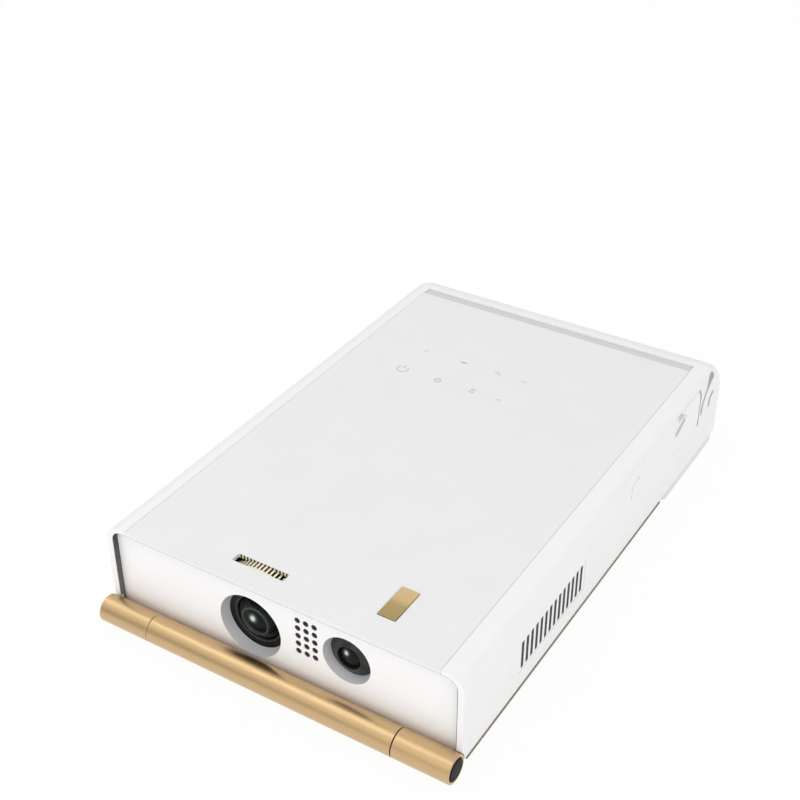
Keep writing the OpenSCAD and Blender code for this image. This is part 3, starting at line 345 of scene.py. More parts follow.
def cover_white(name):
    """White of the shell, with soft shade down in the finger notch."""
    white = (0.90, 0.90, 0.90)
    made = Finish(name, white, 0.42)
    low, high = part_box("port_cover")
    notch = (high.x, low.y + 5.5 * MM, high.z - 5.2 * MM)
    near = made.reach(notch, 5.5 * MM, 4.5 * MM, (0, 1, 1))
    deep = made.slope("X", high.x - 0.04 * MM, high.x - 2.0 * MM)
    made.bands(made.combine("MULTIPLY", near, deep),
               [(0.0, white), (0.1, (0.62, 0.62, 0.62)), (0.35, (0.48, 0.48, 0.48)),
                (0.6, (0.55, 0.55, 0.55)), (0.75, white), (1.0, white)])
    made.spark_grain(0.42)
    return made.material


def gasket_foam_and_shade(name):
    """Dark foam lining of the rim, with painted shade that darkens it towards its upper corners."""
    made = Finish(name, (0.08, 0.08, 0.082), 0.9)
    # Painted shade: darker towards the top, under the rim
    made.bands(made.slope("Z", 40 * MM, 10 * MM),
               [(0.0, (0.035, 0.035, 0.036)), (0.25, (0.085, 0.085, 0.087)), (1.0, (0.15, 0.145, 0.14))])
    made.grain(made.field(0.0004), 0.82, 0.95, 0.00003, 0.5)
    return made.material


# Finishes by name: those of the record's material slots come first, then those of single pieces
FINISHES = {
    "shell_white": lambda n: moulded(n, (0.90, 0.90, 0.90), 0.42),
    "deck_white": lambda n: moulded(n, (0.84, 0.84, 0.84), 0.55, depth=0.000014),
    "gold_satin": lambda n: anodised(n, (0.62, 0.42, 0.20), 0.36, (40, 1, 1)),
    "black_plastic": lambda n: moulded(n, (0.016, 0.016, 0.017), 0.5, spread=0.1, Specular_IOR_Level=0.3),
    "lens_black": lambda n: moulded(n, (0.010, 0.011, 0.011), 0.4, spread=0.15, Specular_IOR_Level=0.3),
    # Lens glass: painted reflection ring and painted rim highlight
    "lens_glass": lambda n: glass_with_painted_ring(n, LENS, 9.5 * MM),
    "strip_grey": lambda n: moulded(n, (0.66, 0.665, 0.67), 0.5),
    "cast_dark": lambda n: moulded(n, (0.05, 0.05, 0.052), 0.5, grain=0.0006, spread=0.15, Metallic=0.6),
    "bright_steel": lambda n: sheet_metal(n, (0.56, 0.57, 0.58), 0.34),
    "fin_aluminium": lambda n: sheet_metal(n, (0.66, 0.67, 0.69), 0.38),
    "pipe_copper": lambda n: sheet_metal(n, (0.72, 0.40, 0.25), 0.3),
    "board_green": lambda n: solder_mask(n, (0.012, 0.10, 0.045)),
    "cell_wrap": lambda n: wrap_film(n, (0.03, 0.07, 0.22)),
    "pad_rubber": lambda n: rubber(n, (0.045, 0.045, 0.047)),
    "socket_steel": lambda n: sheet_metal(n, (0.62, 0.62, 0.64), 0.22),
    "focus_ring": gold_knurl,
    "front_panel": panel_white,
    "accent_plate": accent_gold,
    "port_cover": cover_white,
    "gasket": gasket_foam_and_shade,
    "nose_black": lambda n: moulded(n, (0.016, 0.016, 0.017), 0.3, depth=0.000002, spread=0.15, IOR=1.45),
    # Rear foot: a darker copy of the shell's white, as painted shade
    "foot_shaded_white": lambda n: moulded(n, (0.80, 0.80, 0.80), 0.5),
    # Sound inserts: grey, darkened to stand for painted shade on the sloping walls of their recesses
    "insert_grey_shade": lambda n: moulded(n, (0.40, 0.40, 0.405), 0.6, spread=0.04),
    "cap_black": lambda n: moulded(n, (0.006, 0.006, 0.0065), 0.55, spread=0.15, Specular_IOR_Level=0.15),
    "hinge_gold": lambda n: anodised(n, (0.64, 0.445, 0.225), 0.38, (40, 1, 1), Coat_Weight=0.45,
                                     Coat_Roughness=0.3),
    "plate_gold": lambda n: anodised(n, (0.26, 0.22, 0.13), 0.4, (1, 40, 1)),
    # Painted highlights: a soft pale glint on each lens's glass, a little off its axis
    "inner_glass": lambda n: glass_with_painted_glint(n, LENS + Vector((-0.2, 4.3, 2.1)) * MM, 2.4 * MM),
    "camera_glass": lambda n: glass_with_painted_glint(n, CAM + Vector((-1.1, 3.9, 1.8)) * MM, 1.8 * MM),
    # Pickup lens: painted reflection ring and painted rim highlight
    "pickup_glass": lambda n: glass_with_painted_ring(n, PICKUP, 1.7 * MM),
    "ring_black": lambda n: moulded(n, (0.007, 0.007, 0.007), 0.45, grain=0.0009, depth=0.00004, spread=0.6,
                                    Specular_IOR_Level=0.25),
    "ring_grey": lambda n: moulded(n, (0.05, 0.052, 0.053), 0.3, spread=0.2, Specular_IOR_Level=0.3),
    "ring_green": lambda n: moulded(n, (0.05, 0.065, 0.06), 0.35, spread=0.2, Specular_IOR_Level=0.3),
    "groove_brown": lambda n: moulded(n, (0.06, 0.042, 0.02), 0.6, spread=0.2),
    "pale_gold": lambda n: moulded(n, (0.90, 0.84, 0.62), 0.35, spread=0.06),
    "sleeve_dark": lambda n: moulded(n, (0.12, 0.115, 0.12), 0.7, spread=0.1),
    "cloth_dark": lambda n: moulded(n, (0.045, 0.045, 0.047), 0.9, spread=0.2),
    # Dark plates in the vent slots: painted shade
    "fleece_dark": lambda n: moulded(n, (0.05, 0.05, 0.052), 0.85, grain=0.0007, depth=0.00004, spread=0.25),
    "screen_dark": lambda n: moulded(n, (0.035, 0.035, 0.036), 0.6, spread=0.2),
    "print_grey": lambda n: moulded(n, (0.63, 0.63, 0.635), 0.6, spread=0.05),
    "contact_gold": lambda n: anodised(n, (0.86, 0.64, 0.26), 0.22),
}
made_finishes = {}

# Nodes of the frame whose finish isn't that of their material slot
OWN_FINISH = {
    "focus_ring": "focus_ring", "front_panel": "front_panel", "accent_plate": "accent_plate",
    "port_cover": "port_cover", "camera_barrel": "nose_black", "rear_foot": "foot_shaded_white",
    "sound_inserts": "insert_grey_shade", "hinge_caps": "cap_black", "stand_barrel": "hinge_gold",
    "hinge_knuckles": "hinge_gold",
}


def finish(look):
    if look not in made_finishes:
        made_finishes[look] = FINISHES[look](look + "_finish")
    return made_finishes[look]


# ---------------------------------------------------------------- edges of the frame's nodes

def clean_group():
    """Joins the split corners of an imported mesh and shades it smooth, but for its sharp edges."""
    group = bpy.data.node_groups.new("clean_mesh", "GeometryNodeTree")
    group.interface.new_socket("Geometry", in_out="INPUT", socket_type="NodeSocketGeometry")
    group.interface.new_socket("Geometry", in_out="OUTPUT", socket_type="NodeSocketGeometry")
    start = group.nodes.new("NodeGroupInput")
    end = group.nodes.new("NodeGroupOutput")
    merge = group.nodes.new("GeometryNodeMergeByDistance")
    merge.inputs["Distance"].default_value = 2e-6
    normal = group.nodes.new("GeometryNodeSetMeshNormal")
    normal.mode = "SHARPNESS"
    normal.inputs["Remove Custom"].default_value = True
    edge = group.nodes.new("GeometryNodeInputMeshEdgeAngle")
    sharp = group.nodes.new("FunctionNodeCompare")
    sharp.operation = "GREATER_THAN"
    sharp.inputs["B"].default_value = math.radians(SHARP)
    link = group.links.new
    link(start.outputs[0], merge.inputs["Geometry"])
    link(merge.outputs["Geometry"], normal.inputs["Mesh"])
    link(edge.outputs["Unsigned Angle"], sharp.inputs["A"])
    link(sharp.outputs["Result"], normal.inputs["Edge Sharpness"])
    link(normal.outputs["Mesh"], end.inputs[0])
    return group


CLEAN = clean_group()

# Widths of the rounded edges, in millimetres
EDGES = {
    "main_shell": 0.16, "top_plate": 0.1, "front_panel": 0.12, "stand_barrel": 0.25, "hinge_knuckles": 0.25,
    "hinge_caps": 0.35, "port_cover": 0.15, "side_button": 0.2, "sound_inserts": 0.1, "rear_foot": 0.4,
    "vent_grille": 0.08, "intake_grille": 0.08, "rear_strip": 0.1, "accent_plate": 0.15, "focus_ring": 0.1,
    "stand_plate": 0.15, "bottom_cover": 0.15, "tray_bezel": 0.15, "eject_button": 0.15, "disc_tray": 0.15,
    "drive_chassis": 0.1, "foot_pads": 0.25, "stand_pads": 0.3, "lens_bezel": 0.1, "lens_barrel": 0.08,
    "camera_barrel": 0.08, "spindle_hub": 0.15, "pickup_sled": 0.12,
}

# How far the sound inserts swell in their slots, in millimetres
INSERT_SWELL = 0.40


def round_edges(piece, width):
    bevel = piece.modifiers.new("bevel", "BEVEL")
    bevel.width = width
    bevel.segments = 2
    bevel.limit_method = "ANGLE"
    bevel.angle_limit = math.radians(SHARP)
    return bevel


def soften(piece, width):
    clean = piece.modifiers.new("clean", "NODES")
    clean.node_group = CLEAN
    flat = piece.modifiers.new("flat", "DECIMATE")
    flat.decimate_type = "DISSOLVE"
    flat.angle_limit = math.radians(0.3)
    if width:
        round_edges(piece, width).miter_outer = "MITER_ARC"
    weight = piece.modifiers.new("weight", "WEIGHTED_NORMAL")
    weight.keep_sharp = True


def dress_nodes():
    for name, piece in NODES.items():
        slot = piece.data.materials[0].name.split(".")[0]
        piece.material_slots[0].material = finish(OWN_FINISH.get(name, slot))
        soften(piece, EDGES.get(name, 0) * MM)
    swell = NODES["sound_inserts"].modifiers.new("swell", "DISPLACE")
    swell.strength = INSERT_SWELL * MM
    swell.mid_level = 0.0


# ---------------------------------------------------------------- making pieces

def piece_of(name, mesh_data, slot, body, look=None, replaces=(), bevel=0.0):
    """A new piece that rides on a body. Its finish is that of its slot, unless look names another."""
    made = bpy.data.objects.new(name, mesh_data)
    bpy.context.scene.collection.objects.link(made)
    made.data.materials.append(finish(look or slot))
    if bevel:
        round_edges(made, bevel)
    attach(made, body)
    if replaces:
        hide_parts(*replaces)


def mesh_of(name, bm):
    """A mesh from a bmesh, shaded smooth but for its sharp edges."""
    bmesh.ops.recalc_face_normals(bm, faces=bm.faces)
    for face in bm.faces:
        face.smooth = True
    for edge in bm.edges:
        edge.smooth = len(edge.link_faces) == 2 and edge.calc_face_angle(0) < math.radians(SHARP)
    data = bpy.data.meshes.new(name)
    bm.to_mesh(data)
    bm.free()
    return data


def turned(name, profile, place, steps=128):
    """A closed profile of (radius, height) in millimetres, turned; place maps (u, v, height) to the frame."""
    bm = bmesh.new()
    rings = []
    for i in range(steps):
        a = 2 * math.pi * i / steps
        c, s = math.cos(a), math.sin(a)
        rings.append([bm.verts.new(place(r * c, r * s, h)) for r, h in profile])
    count = len(profile)
    for i in range(steps):
        near, far = rings[i], rings[(i + 1) % steps]
        for j in range(count):
            k = (j + 1) % count
            if profile[j][0] == 0 and profile[k][0] == 0:
                continue
            bm.faces.new((near[j], near[k], far[k], far[j]))
    bmesh.ops.remove_doubles(bm, verts=bm.verts, dist=1e-7)
    bmesh.ops.dissolve_degenerate(bm, edges=bm.edges, dist=1e-8)
    return mesh_of(name, bm)


def along_y(centre):
    """Maps (u, v, depth) in millimetres to a thing that faces the front, at centre."""
    return lambda u, v, h: (centre.x + u * MM, centre.y + h * MM, centre.z + v * MM)


def along_z(centre):
    """Maps (u, v, height) in millimetres to a thing that faces up, at centre."""
    return lambda u, v, h: (centre.x + u * MM, centre.y + v * MM, centre.z + h * MM)


def along_x(centre, side):
    """Maps (u, v, height) in millimetres to a thing that faces a side, at centre: u along the body, v up."""
    return lambda u, v, h: (centre.x + side * h * MM, centre.y + u * MM, centre.z + v * MM)


def centred(count):
    """Whole steps about 0, as many as count."""
    return [i - (count - 1) / 2 for i in range(count)]


def circle(r, steps=48, u=0.0, v=0.0):
    return [(u + r * math.cos(2 * math.pi * i / steps), v + r * math.sin(2 * math.pi * i / steps))
            for i in range(steps)]


def arc_band(r_in, r_out, start, end, steps=48):
    """Outline of a part of a ring, between two angles in degrees."""
    turns = [math.radians(start + (end - start) * i / steps) for i in range(steps + 1)]
    return ([(r_out * math.cos(a), r_out * math.sin(a)) for a in turns] +
            [(r_in * math.cos(a), r_in * math.sin(a)) for a in reversed(turns)])


def bar(u, v, w, h, lean=0.0):
    """Outline of a rectangle about (u, v), leaning by an angle in degrees."""
    c, s = math.cos(math.radians(lean)), math.sin(math.radians(lean))
    return [(u + x * c - y * s, v + x * s + y * c)
            for x, y in ((-w / 2, -h / 2), (w / 2, -h / 2), (w / 2, h / 2), (-w / 2, h / 2))]


def stadium(w, h, steps=16):
    """Outline of a rectangle with half round ends."""
    r, reach = h / 2, w / 2 - h / 2
    turns = [math.pi * i / steps - math.pi / 2 for i in range(steps + 1)]
    return ([(reach + r * math.cos(a), r * math.sin(a)) for a in turns] +
            [(-reach - r * math.cos(a), -r * math.sin(a)) for a in turns])


def rounded(w, h, r, u, steps=6):
    """Outline of a rectangle about (u, 0) with rounded corners."""
    points = []
    for k, (a, b) in enumerate(((1, 1), (-1, 1), (-1, -1), (1, -1))):
        for i in range(steps + 1):
            turn = math.pi / 2 * (k + i / steps)
            points.append((u + a * (w / 2 - r) + r * math.cos(turn), b * (h / 2 - r) + r * math.sin(turn)))
    return points


def plates(name, shapes):
    """Flat plates in one mesh: each has its outline, those of its holes, its place and two heights."""
    bm = bmesh.new()
    for outlines, place, low, high in shapes:
        flat = [Vector((u, v, 0)) for outline in outlines for u, v in outline]
        levels = [[bm.verts.new(place(p.x, p.y, h)) for p in flat] for h in (low, high)]
        for tri in tessellate_polygon([[Vector((u, v, 0)) for u, v in outline] for outline in outlines]):
            for level in levels:
                bm.faces.new([level[i] for i in tri])
        first = 0
        for outline in outlines:
            count = len(outline)
            for i in range(count):
                a, b = first + i, first + (i + 1) % count
                bm.faces.new((levels[0][a], levels[0][b], levels[1][b], levels[1][a]))
            first += count
    return mesh_of(name, bm)


# ---------------------------------------------------------------- the two lenses

def dome(r, depth, vertex, back, steps=14):
    """Profile of a dome of radius r that rises by depth to its vertex, closed at back."""
    curve = (r * r + depth * depth) / (2 * depth)
    front = [(r * i / steps, vertex + curve - math.sqrt(curve * curve - (r * i / steps) ** 2))
             for i in range(steps + 1)]
    return front + [(r, back), (0.0, back)]


def build_projection_lens():
    """Stepped retainer, clamp ring and domed glass, with a smaller seat and glass inside it."""
    place = along_y(LENS)
    rings = [(12.55, 6.8), (12.55, 8.2), (9.6, 8.2), (9.6, 7.75), (9.9, 7.6), (10.2, 7.55), (10.3, 7.25),
             (10.6, 7.2), (10.7, 7.0), (11.2, 6.98), (11.3, 6.85), (11.9, 6.8)]
    piece_of("lens_retainer", turned("lens_retainer", rings, place), "black_plastic", "housing", "ring_black",
             replaces=["lens_bezel"])
    clamp = [(9.45, 7.9), (9.45, 7.15), (9.6, 6.95), (10.0, 6.9), (10.15, 7.05), (10.2, 7.5), (9.9, 7.9)]
    piece_of("glass_clamp", turned("glass_clamp", clamp, place), "lens_black", "lens", "ring_grey")
    glass = dome(9.44, 3.5, 4.4, 10.9)
    piece_of("front_glass", turned("front_glass", glass, place), "lens_glass", "lens",
             replaces=["front_lens"])
    seat = [(5.15, 5.2), (5.35, 5.02), (5.7, 5.05), (5.95, 5.35), (6.0, 6.2), (5.1, 6.2)]
    piece_of("inner_seat", turned("inner_seat", seat, place), "lens_black", "lens", "ring_green")
    inner = dome(5.2, 1.15, 4.05, 6.0)
    piece_of("inner_glass", turned("inner_glass", inner, place), "lens_glass", "lens", "inner_glass")


def build_camera_lens():
    place = along_y(CAM)
    glass = dome(4.58, 1.5, 3.85, 6.1)
    piece_of("camera_glass", turned("camera_glass", glass, place), "lens_glass", "housing", "camera_glass",
             replaces=["camera_lens"])
    trim = [(4.62, 4.3), (4.66, 4.0), (4.95, 3.9), (5.35, 4.1), (5.9, 4.6), (5.4, 4.7), (4.62, 4.7)]
    piece_of("camera_trim", turned("camera_trim", trim, place), "lens_black", "housing", "nose_black")


# ---------------------------------------------------------------- focus wheel and front panel

def build_focus_rim():
    """Plain pale band along the front of the knurled wheel, past both ends of its slot."""
    low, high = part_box("focus_ring")
    outside = (high.z - LENS.z) / MM
    half_turn = 53
    place = along_y(Vector((LENS.x, low.y, LENS.z)))
    band = arc_band(outside - 1.6, outside - 0.06, 90 - half_turn, 90 + half_turn)
    piece_of("focus_rim", plates("focus_rim", [([band], place, -0.02, 0.75)]), "gold_bright", "focus",
             "pale_gold", bevel=0.12 * MM)


def build_slot_comb():
    """Dark liner and pale index bars on the rear wall of the wheel's slot, in step with the knurl."""
    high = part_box("focus_ring")[1]
    place = along_y(Vector((LENS.x, high.y + 0.3 * MM, (TOP_Z + DECK_Z) / 2)))
    outside = (high.z - LENS.z) / MM
    pitch = math.radians(4.3)
    liner = [([bar(0, 0, 21.8, 1.58)], place, -0.06, 0.0)]
    piece_of("slot_liner", plates("slot_liner", liner), "black_plastic", "housing", "groove_brown")
    bars = [([bar(math.sin(i * pitch) * outside, 0, 0.7, 1.56)], place, -0.14, -0.06) for i in centred(15)]
    piece_of("slot_comb", plates("slot_comb", bars), "gold_bright", "housing", "pale_gold")


def build_gasket():
    """Foam lining round the inner faces of the rim, with a short end behind each end of the hinge barrel."""
    half, top = IN_X / MM - 0.03, DECK_Z / MM - 0.03
    corner, thick, back, foot = 4.6, 0.28, 2.46, 9.4
    turns = [math.radians(180 - 9 * i) for i in range(11)]

    def path(inset):
        r = corner - inset
        left = [(inset - half, foot)]
        left += [(corner - half + r * math.cos(a), top - corner + r * math.sin(a)) for a in turns]
        return left + [(-u, v) for u, v in reversed(left)]

    place = along_y(Vector((0, RIM_Y, 0)))
    shapes = [([path(0) + path(thick)[::-1]], place, 0.2, back)]
    shapes += [([bar(s * (half - thick / 2), 7.5, thick, 3.79)], place, 1.5, back) for s in (-1, 1)]
    piece_of("panel_gasket", plates("panel_gasket", shapes), "pad_rubber", "housing", "gasket")


def build_sound_holes():
    """Black cloth behind the sound holes, in two crossing layers, and a dark sleeve in each hole."""
    place = along_y(HOLES)
    pitch, thread = 0.72, 0.62
    cloth = [([bar(0, i * pitch - 8.6, 10.2, thread)], place, 4.54, 4.66) for i in range(25)]
    cloth += [([bar(i * pitch - 4.7, 0, thread, 17.6)], place, 4.66, 4.78) for i in range(14)]
    piece_of("hole_cloth", plates("hole_cloth", cloth), "black_plastic", "housing", "cloth_dark")
    sleeves = []
    for u in centred(3):
        for v in centred(5):
            rings = [circle(r, 32, u * HOLE_PITCH, v * HOLE_PITCH) for r in (1.18, 1.06)]
            sleeves.append((rings, place, 2.62, 4.52))
    piece_of("hole_sleeves", plates("hole_sleeves", sleeves), "black_plastic", "housing", "sleeve_dark")


# ---------------------------------------------------------------- sides and top

def build_screens():
    """Woven screens behind the two vents, and dark plates sunk in their slots as painted shade."""
    pitch, wire, tall = 0.8, 0.5, 13.4
    for side, node in ((1, "vent_grille"), (-1, "intake_grille")):
        low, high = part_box(node)
        length = (high.y - low.y) / MM
        wide = length - 2.4
        centre = (low + high) / 2
        place = along_x(Vector((side * (IN_X - 0.8 * MM), centre.y, centre.z)), side)
        wires = [([bar(u * pitch, 0, wire, tall)], place, -0.16, -0.03) for u in centred(int(wide / pitch))]
        wires += [([bar(0, v * pitch, wide, wire)], place, -0.29, -0.16) for v in centred(17)]
        screen = node.replace("grille", "screen")
        piece_of(screen, plates(screen, wires), "bright_steel", "housing", "screen_dark")
        face = along_x(Vector(((high if side > 0 else low).x, centre.y, centre.z)), side)
        slots = round((length - SLOT_ENDS) / SLOT_PITCH) + 1
        # Painted shade: dark plates sunk in the vent slots
        fills = [([rounded(SLOT_W - 0.04, SLOT_H - 0.04, 0.6, u * SLOT_PITCH)], face, -0.62, -0.06)
                 for u in centred(slots)]
        fleece = node.replace("grille", "fleece")
        piece_of(fleece, plates(fleece, fills), "pad_rubber", "housing", "fleece_dark")


def build_symbols():
    """Plain touch marks, printed pale grey on the top plate, in two rows."""
    front_row, rear_row = 147.0, 165.0
    marks = [
        (-39.1, front_row, [[arc_band(2.0, 2.7, 130, 410)], [bar(0, 1.9, 0.7, 2.4)]]),
        (-21.7, front_row, [[circle(1.7, 24), circle(0.8, 24)]]),
        (-5.3, front_row + 0.4, [[bar(0, -0.95, 2.6, 1.1)], [bar(0, 0.95, 2.2, 1.2)]]),
        (7.1, front_row, [[[(-1.2, -0.6), (-0.6, -0.9), (0.1, 0.3), (0.9, -0.7), (1.4, -0.4), (0.2, 1.1)]]]),
        (-38.1, rear_row, [[[(-0.9, -0.9), (-0.3, -1.1), (1.1, 0.6), (0.6, 1.1)]]]),
        (-19.3, rear_row, [[bar(-0.7, 0.1, 2.2, 1.0, 6)], [bar(0.9, -0.1, 2.0, 0.8, 6)]]),
        (-2.6, rear_row, [[bar(-0.9, 0.7, 1.8, 0.7, 8)], [bar(0.7, -0.4, 1.8, 0.7, 8)]]),
        (9.8, rear_row, [[bar(0, 0, 2.6, 0.55, 4)]]),
    ]
    shapes = []
    for x, y, outlines in marks:
        place = along_z(Vector((x * MM, RIM_Y + y * MM, TOP_Z)))
        shapes += [(outline, place, -0.02, 0.03) for outline in outlines]
    piece_of("touch_symbols", plates("touch_symbols", shapes), "strip_grey", "housing", "print_grey")


# ---------------------------------------------------------------- underside

def groups_of(node, apart):
    """Middles, seen from above, of the separate bodies of a node, at least apart metres from each other."""
    found = []
    for vertex in NODES[node].data.vertices:
        x, y = vertex.co.x, vertex.co.y
        for group in found:
            if abs(group[0] - x) < apart and abs(group[1] - y) < apart:
                group[2].append((x, y))
                break
        else:
            found.append((x, y, [(x, y)]))
    return [((min(q[0] for q in g[2]) + max(q[0] for q in g[2])) / 2,
             (min(q[1] for q in g[2]) + max(q[1] for q in g[2])) / 2) for g in found]


def build_screws():
    """Cross headed screws of the bottom cover."""
    low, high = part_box("cover_screws")
    arm, slot = 1.15, 0.28
    cross = [(arm, slot), (slot, slot), (slot, arm), (-slot, arm), (-slot, slot), (-arm, slot), (-arm, -slot),
             (-slot, -slot), (-slot, -arm), (slot, -arm), (slot, -slot), (arm, -slot)]
    tall = (high.z - low.z) / MM
    chamfer, head, shank = 1.95, 2.2, 0.84
    shapes = []
    for x, y in groups_of("cover_screws", 6 * MM):
        place = along_z(Vector((x, y, low.z)))
        shapes += [([circle(chamfer), cross], place, 0.0, 0.2), ([circle(head), cross], place, 0.2, 0.45),
                   ([circle(head)], place, 0.45, 0.6), ([circle(shank, 32)], place, 0.6, tall)]
    piece_of("cross_screws", plates("cross_screws", shapes), "bright_steel", "housing",
             replaces=["cover_screws"])


def build_plate_edge():
    """Edging of the stand plate, in two lengths on each side, and of the fixed leaf in front of it."""
    low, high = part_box("stand_plate")
    outer = [v.co for v in NODES["stand_plate"].data.vertices if v.co.x > high.x - 0.01 * MM]
    front = [p for p in outer if p.y < -20 * MM and p.z < high.z - 0.5 * MM]
    notch = min(p.y for p in outer if p.z < low.z + 0.1 * MM) / MM
    rear = max(p.y for p in outer) / MM
    y0, y1 = min(p.y for p in front) / MM, max(p.y for p in front) / MM
    step = (min(p.z for p in front) - low.z) / MM
    tall = (high.z - low.z) / MM
    place = along_z(Vector((0, 0, low.z)))

    def edging(start, end, bottom):
        return [([bar(s * (high.x / MM + 0.2), (start + end) / 2, 0.6, end - start)], place, bottom, tall)
                for s in (-1, 1)]

    edge = edging(y0, y1, step) + edging(notch, rear, 0.0)
    piece_of("plate_edge", plates("plate_edge", edge), "gold_satin", "stand", "plate_gold", bevel=0.12 * MM)
    leaf = edging(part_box("main_shell")[0].y / MM + 3, y0 - 0.5, step)
    piece_of("leaf_edge", plates("leaf_edge", leaf), "gold_satin", "housing", "plate_gold", bevel=0.12 * MM)


def build_pads():
    """Ribbed rubber pads, under the stand plate and under the rear foot."""
    lip, rib, pitch, skirt = 0.8, 0.8, 1.8, 0.5
    for node, body in (("stand_pads", "stand"), ("foot_pads", "housing")):
        low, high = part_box(node)
        tall = (high.z - low.z) / MM
        wide = (high.y - low.y) / MM
        outer = (high.x - low.x) / 2 / MM
        shapes = []
        for x, y in sorted(groups_of(node, 45 * MM)):
            length = 2 * (outer - abs(x) / MM)
            outline, inside = stadium(length, wide), stadium(length - 2 * lip, wide - 2 * lip)
            place = along_z(Vector((x, y, low.z)))
            shapes += [([outline], place, skirt, tall), ([outline, inside], place, 0.0, skirt)]
            shapes += [([bar(u * pitch, 0, rib, wide - 2.6)], place, 0.05, skirt)
                       for u in centred(int((length - wide) / pitch))]
        name = node + "_ribbed"
        piece_of(name, plates(name, shapes), "pad_rubber", body, replaces=[node])


# ---------------------------------------------------------------- disc drive and sockets

def build_disc_well():
    """Two low steps in the disc well, and five short ribs inside them."""
    place = along_z(over_disc(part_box("disc_tray")[1].z - 2.8 * MM))
    shapes = [([arc_band(39.8, 40.6, 34, 314, 90)], place, 0.0, 0.25),
              ([arc_band(58.6, 59.2, 24, 332, 110)], place, 0.0, 0.18)]
    shapes += [([arc_band(21, 33, a - 2.2, a + 2.2, 6)], place, 0.0, 0.2) for a in range(120, 241, 30)]
    piece_of("well_steps", plates("well_steps", shapes), "black_plastic", "tray", bevel=0.05 * MM)


def build_hub():
    """Turntable pad, and the hub's three steel balls and crown."""
    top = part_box("spindle_hub")[1].z
    pad = [(9.0, 0.0), (9.0, 0.16), (9.2, 0.24), (11.1, 0.24), (11.3, 0.16), (11.3, 0.0)]
    piece_of("turntable_pad", turned("turntable_pad", pad, along_z(over_disc(top - 2.4 * MM))), "pad_rubber",
             "spindle")
    balls = bmesh.new()
    for i in range(3):
        a = math.radians(120 * i)
        made = bmesh.ops.create_icosphere(balls, subdivisions=3, radius=1.0 * MM)
        where = over_disc(top - 0.95 * MM) + Vector((math.cos(a), math.sin(a), 0)) * 6.2 * MM
        bmesh.ops.translate(balls, verts=made["verts"], vec=where)
    piece_of("hub_balls", mesh_of("hub_balls", balls), "bright_steel", "spindle")
    crown = [(0.0, -0.6), (2.2, -0.6), (4.6, -0.2), (5.0, 0.0), (5.0, 0.25), (4.4, 0.3), (2.6, 0.5),
             (0.0, 0.5)]
    piece_of("hub_crown", turned("hub_crown", crown, along_z(over_disc(top - 0.2 * MM))), "black_plastic",
             "spindle")


def build_pickup():
    """Ring and lens of the pickup."""
    place = along_z(PICKUP)
    ring = [(1.75, -0.3), (1.75, 0.12), (1.9, 0.2), (2.2, 0.12), (2.3, -0.3)]
    piece_of("pickup_ring", turned("pickup_ring", ring, place, 64), "lens_black", "sled")
    bead = [(0.0, 0.32), (0.6, 0.28), (1.2, 0.14), (1.72, -0.1), (1.72, -0.3), (0.0, -0.3)]
    piece_of("pickup_lens", turned("pickup_lens", bead, place, 64), "lens_glass", "sled", "pickup_glass")


def build_contacts():
    """Gilded contacts on the tongues of the two wide sockets: above one tongue, and below the other."""
    for node, count, pitch, wide, up in (("hdmi_socket", 10, 1.1, 0.55, 0.5),
                                         ("usb_socket", 4, 2.5, 1.1, -0.9)):
        centre = middle(node)
        centre.z += up * MM
        bottom, top = (0, 0.06) if up > 0 else (-0.06, 0)
        shapes = [([bar(0.6, v * pitch, 8.4, wide)], along_z(centre), bottom, top) for v in centred(count)]
        name = node.replace("socket", "contacts")
        piece_of(name, plates(name, shapes), "gold_bright", "housing", "contact_gold")


# ---------------------------------------------------------------- camera, room, floor and lamps

def build_camera():
    azimuth, elevation = math.radians(CAMERA_AZIMUTH), math.radians(CAMERA_ELEVATION)
    back = Vector((math.sin(azimuth) * math.cos(elevation), -math.cos(azimuth) * math.cos(elevation),
                   math.sin(elevation)))
    level = Vector((math.cos(azimuth), math.sin(azimuth), 0))
    right = Matrix.Rotation(math.radians(CAMERA_ROLL), 3, back) @ level
    up = back.cross(right)
    data = bpy.data.cameras.new("photo_camera")
    data.lens = CAMERA_LENS
    data.sensor_width = CAMERA_SENSOR
    data.clip_start = 0.01
    data.clip_end = 50
    camera = bpy.data.objects.new("photo_camera", data)
    bpy.context.scene.collection.objects.link(camera)
    pose = Matrix((right, up, back)).transposed().to_4x4()
    pose.translation = CAMERA_PLACE
    camera.matrix_world = pose
    bpy.context.scene.camera = camera


def seen_by(tree, *rays):
    """1 for the named kinds of ray, and 0 for the others."""
    path = tree.nodes.new("ShaderNodeLightPath")
    seen = path.outputs[rays[0]]
    for ray in rays[1:]:
        either = tree.nodes.new("ShaderNodeMath")
        either.operation = "MAXIMUM"
        tree.links.new(seen, either.inputs[0])
        tree.links.new(path.outputs[ray], either.inputs[1])
        seen = either.outputs[0]
    return seen


def mixed(tree, share, first, second):
    """A mix of two shaders, where share is the part of the second one."""
    made = tree.nodes.new("ShaderNodeMixShader")
    for source, socket in zip((share, first, second), made.inputs):
        tree.links.new(source, socket)
    return made.outputs[0]


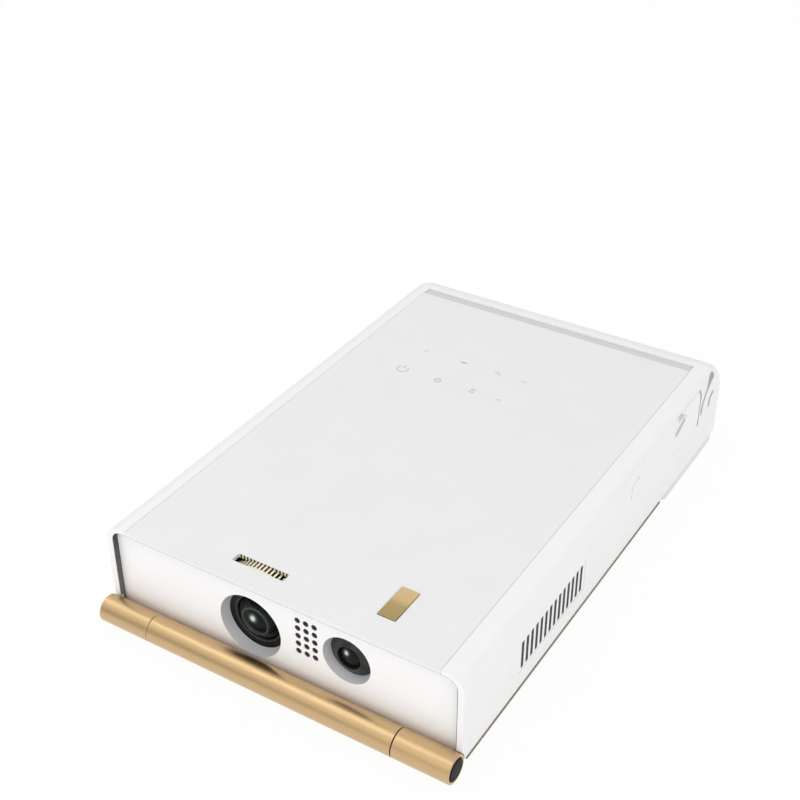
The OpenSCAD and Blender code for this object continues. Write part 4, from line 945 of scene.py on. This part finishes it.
def build_world():
    """An even pale room. The camera sees it white, and metal mirrors a grey horizon under a white sky."""
    world = bpy.data.worlds.new("room")
    bpy.context.scene.world = world
    world.use_nodes = True
    tree = world.node_tree
    tree.nodes.clear()
    room, white, mirror = (tree.nodes.new("ShaderNodeBackground") for _ in range(3))
    room.inputs["Color"].default_value = (*WHITE, 1.0)
    room.inputs["Strength"].default_value = ROOM_LIGHT
    white.inputs["Color"].default_value = (*WHITE, 1.0)
    split = tree.nodes.new("ShaderNodeSeparateXYZ")
    tree.links.new(tree.nodes.new("ShaderNodeTexCoord").outputs["Generated"], split.inputs["Vector"])
    tree.links.new(colour_ramp(tree, split.outputs["Z"], SKY), mirror.inputs["Color"])
    lit = mixed(tree, seen_by(tree, "Is Glossy Ray"), room.outputs[0], mirror.outputs[0])
    eye = seen_by(tree, "Is Camera Ray", "Is Transmission Ray")
    output = tree.nodes.new("ShaderNodeOutputWorld")
    tree.links.new(mixed(tree, eye, lit, white.outputs[0]), output.inputs["Surface"])


def floor_material():
    """Plain white to the eye and to gloss, but for a share that takes the shadow; clear from below."""
    material = bpy.data.materials.new("floor_white")
    material.use_nodes = True
    tree = material.node_tree
    tree.nodes.clear()
    diffuse = tree.nodes.new("ShaderNodeBsdfDiffuse")
    diffuse.inputs["Color"].default_value = (0.95, 0.95, 0.95, 1.0)
    glow = tree.nodes.new("ShaderNodeEmission")
    glow.inputs["Strength"].default_value = 1.0
    share = tree.nodes.new("ShaderNodeMath")
    share.operation = "MULTIPLY"
    tree.links.new(seen_by(tree, "Is Camera Ray", "Is Glossy Ray", "Is Transmission Ray"), share.inputs[0])
    share.inputs[1].default_value = FLOOR_WHITE
    top = mixed(tree, share.outputs[0], diffuse.outputs[0], glow.outputs[0])
    below = tree.nodes.new("ShaderNodeNewGeometry").outputs["Backfacing"]
    clear = tree.nodes.new("ShaderNodeBsdfTransparent")
    output = tree.nodes.new("ShaderNodeOutputMaterial")
    tree.links.new(mixed(tree, below, top, clear.outputs[0]), output.inputs["Surface"])
    return material


def build_floor():
    """A white table, just under the object."""
    bm = bmesh.new()
    bmesh.ops.create_grid(bm, x_segments=1, y_segments=1, size=3.0)
    data = bpy.data.meshes.new("floor")
    bm.to_mesh(data)
    bm.free()
    floor = bpy.data.objects.new("floor", data)
    floor.location.z = -0.02 * MM
    bpy.context.scene.collection.objects.link(floor)
    data.materials.append(floor_material())


def build_lamps():
    for name, (direction, distance, (wide, tall), brightness) in LAMPS.items():
        data = bpy.data.lights.new(name, "AREA")
        data.shape = "RECTANGLE"
        data.size = wide
        data.size_y = tall
        data.energy = brightness * math.pi * wide * tall
        lamp = bpy.data.objects.new(name, data)
        way = Vector(direction).normalized()
        lamp.location = LAMP_AIM + way * distance
        lamp.rotation_mode = "QUATERNION"
        lamp.rotation_quaternion = (-way).to_track_quat("-Z", "Y")
        bpy.context.scene.collection.objects.link(lamp)


bpy.context.scene.view_settings.view_transform = "Standard"
build_camera()
build_world()
build_floor()
build_lamps()
dress_nodes()
build_projection_lens()
build_camera_lens()
build_focus_rim()
build_slot_comb()
build_gasket()
build_sound_holes()
build_screens()
build_symbols()
build_screws()
build_pads()
build_plate_edge()
build_disc_well()
build_hub()
build_pickup()
build_contacts()
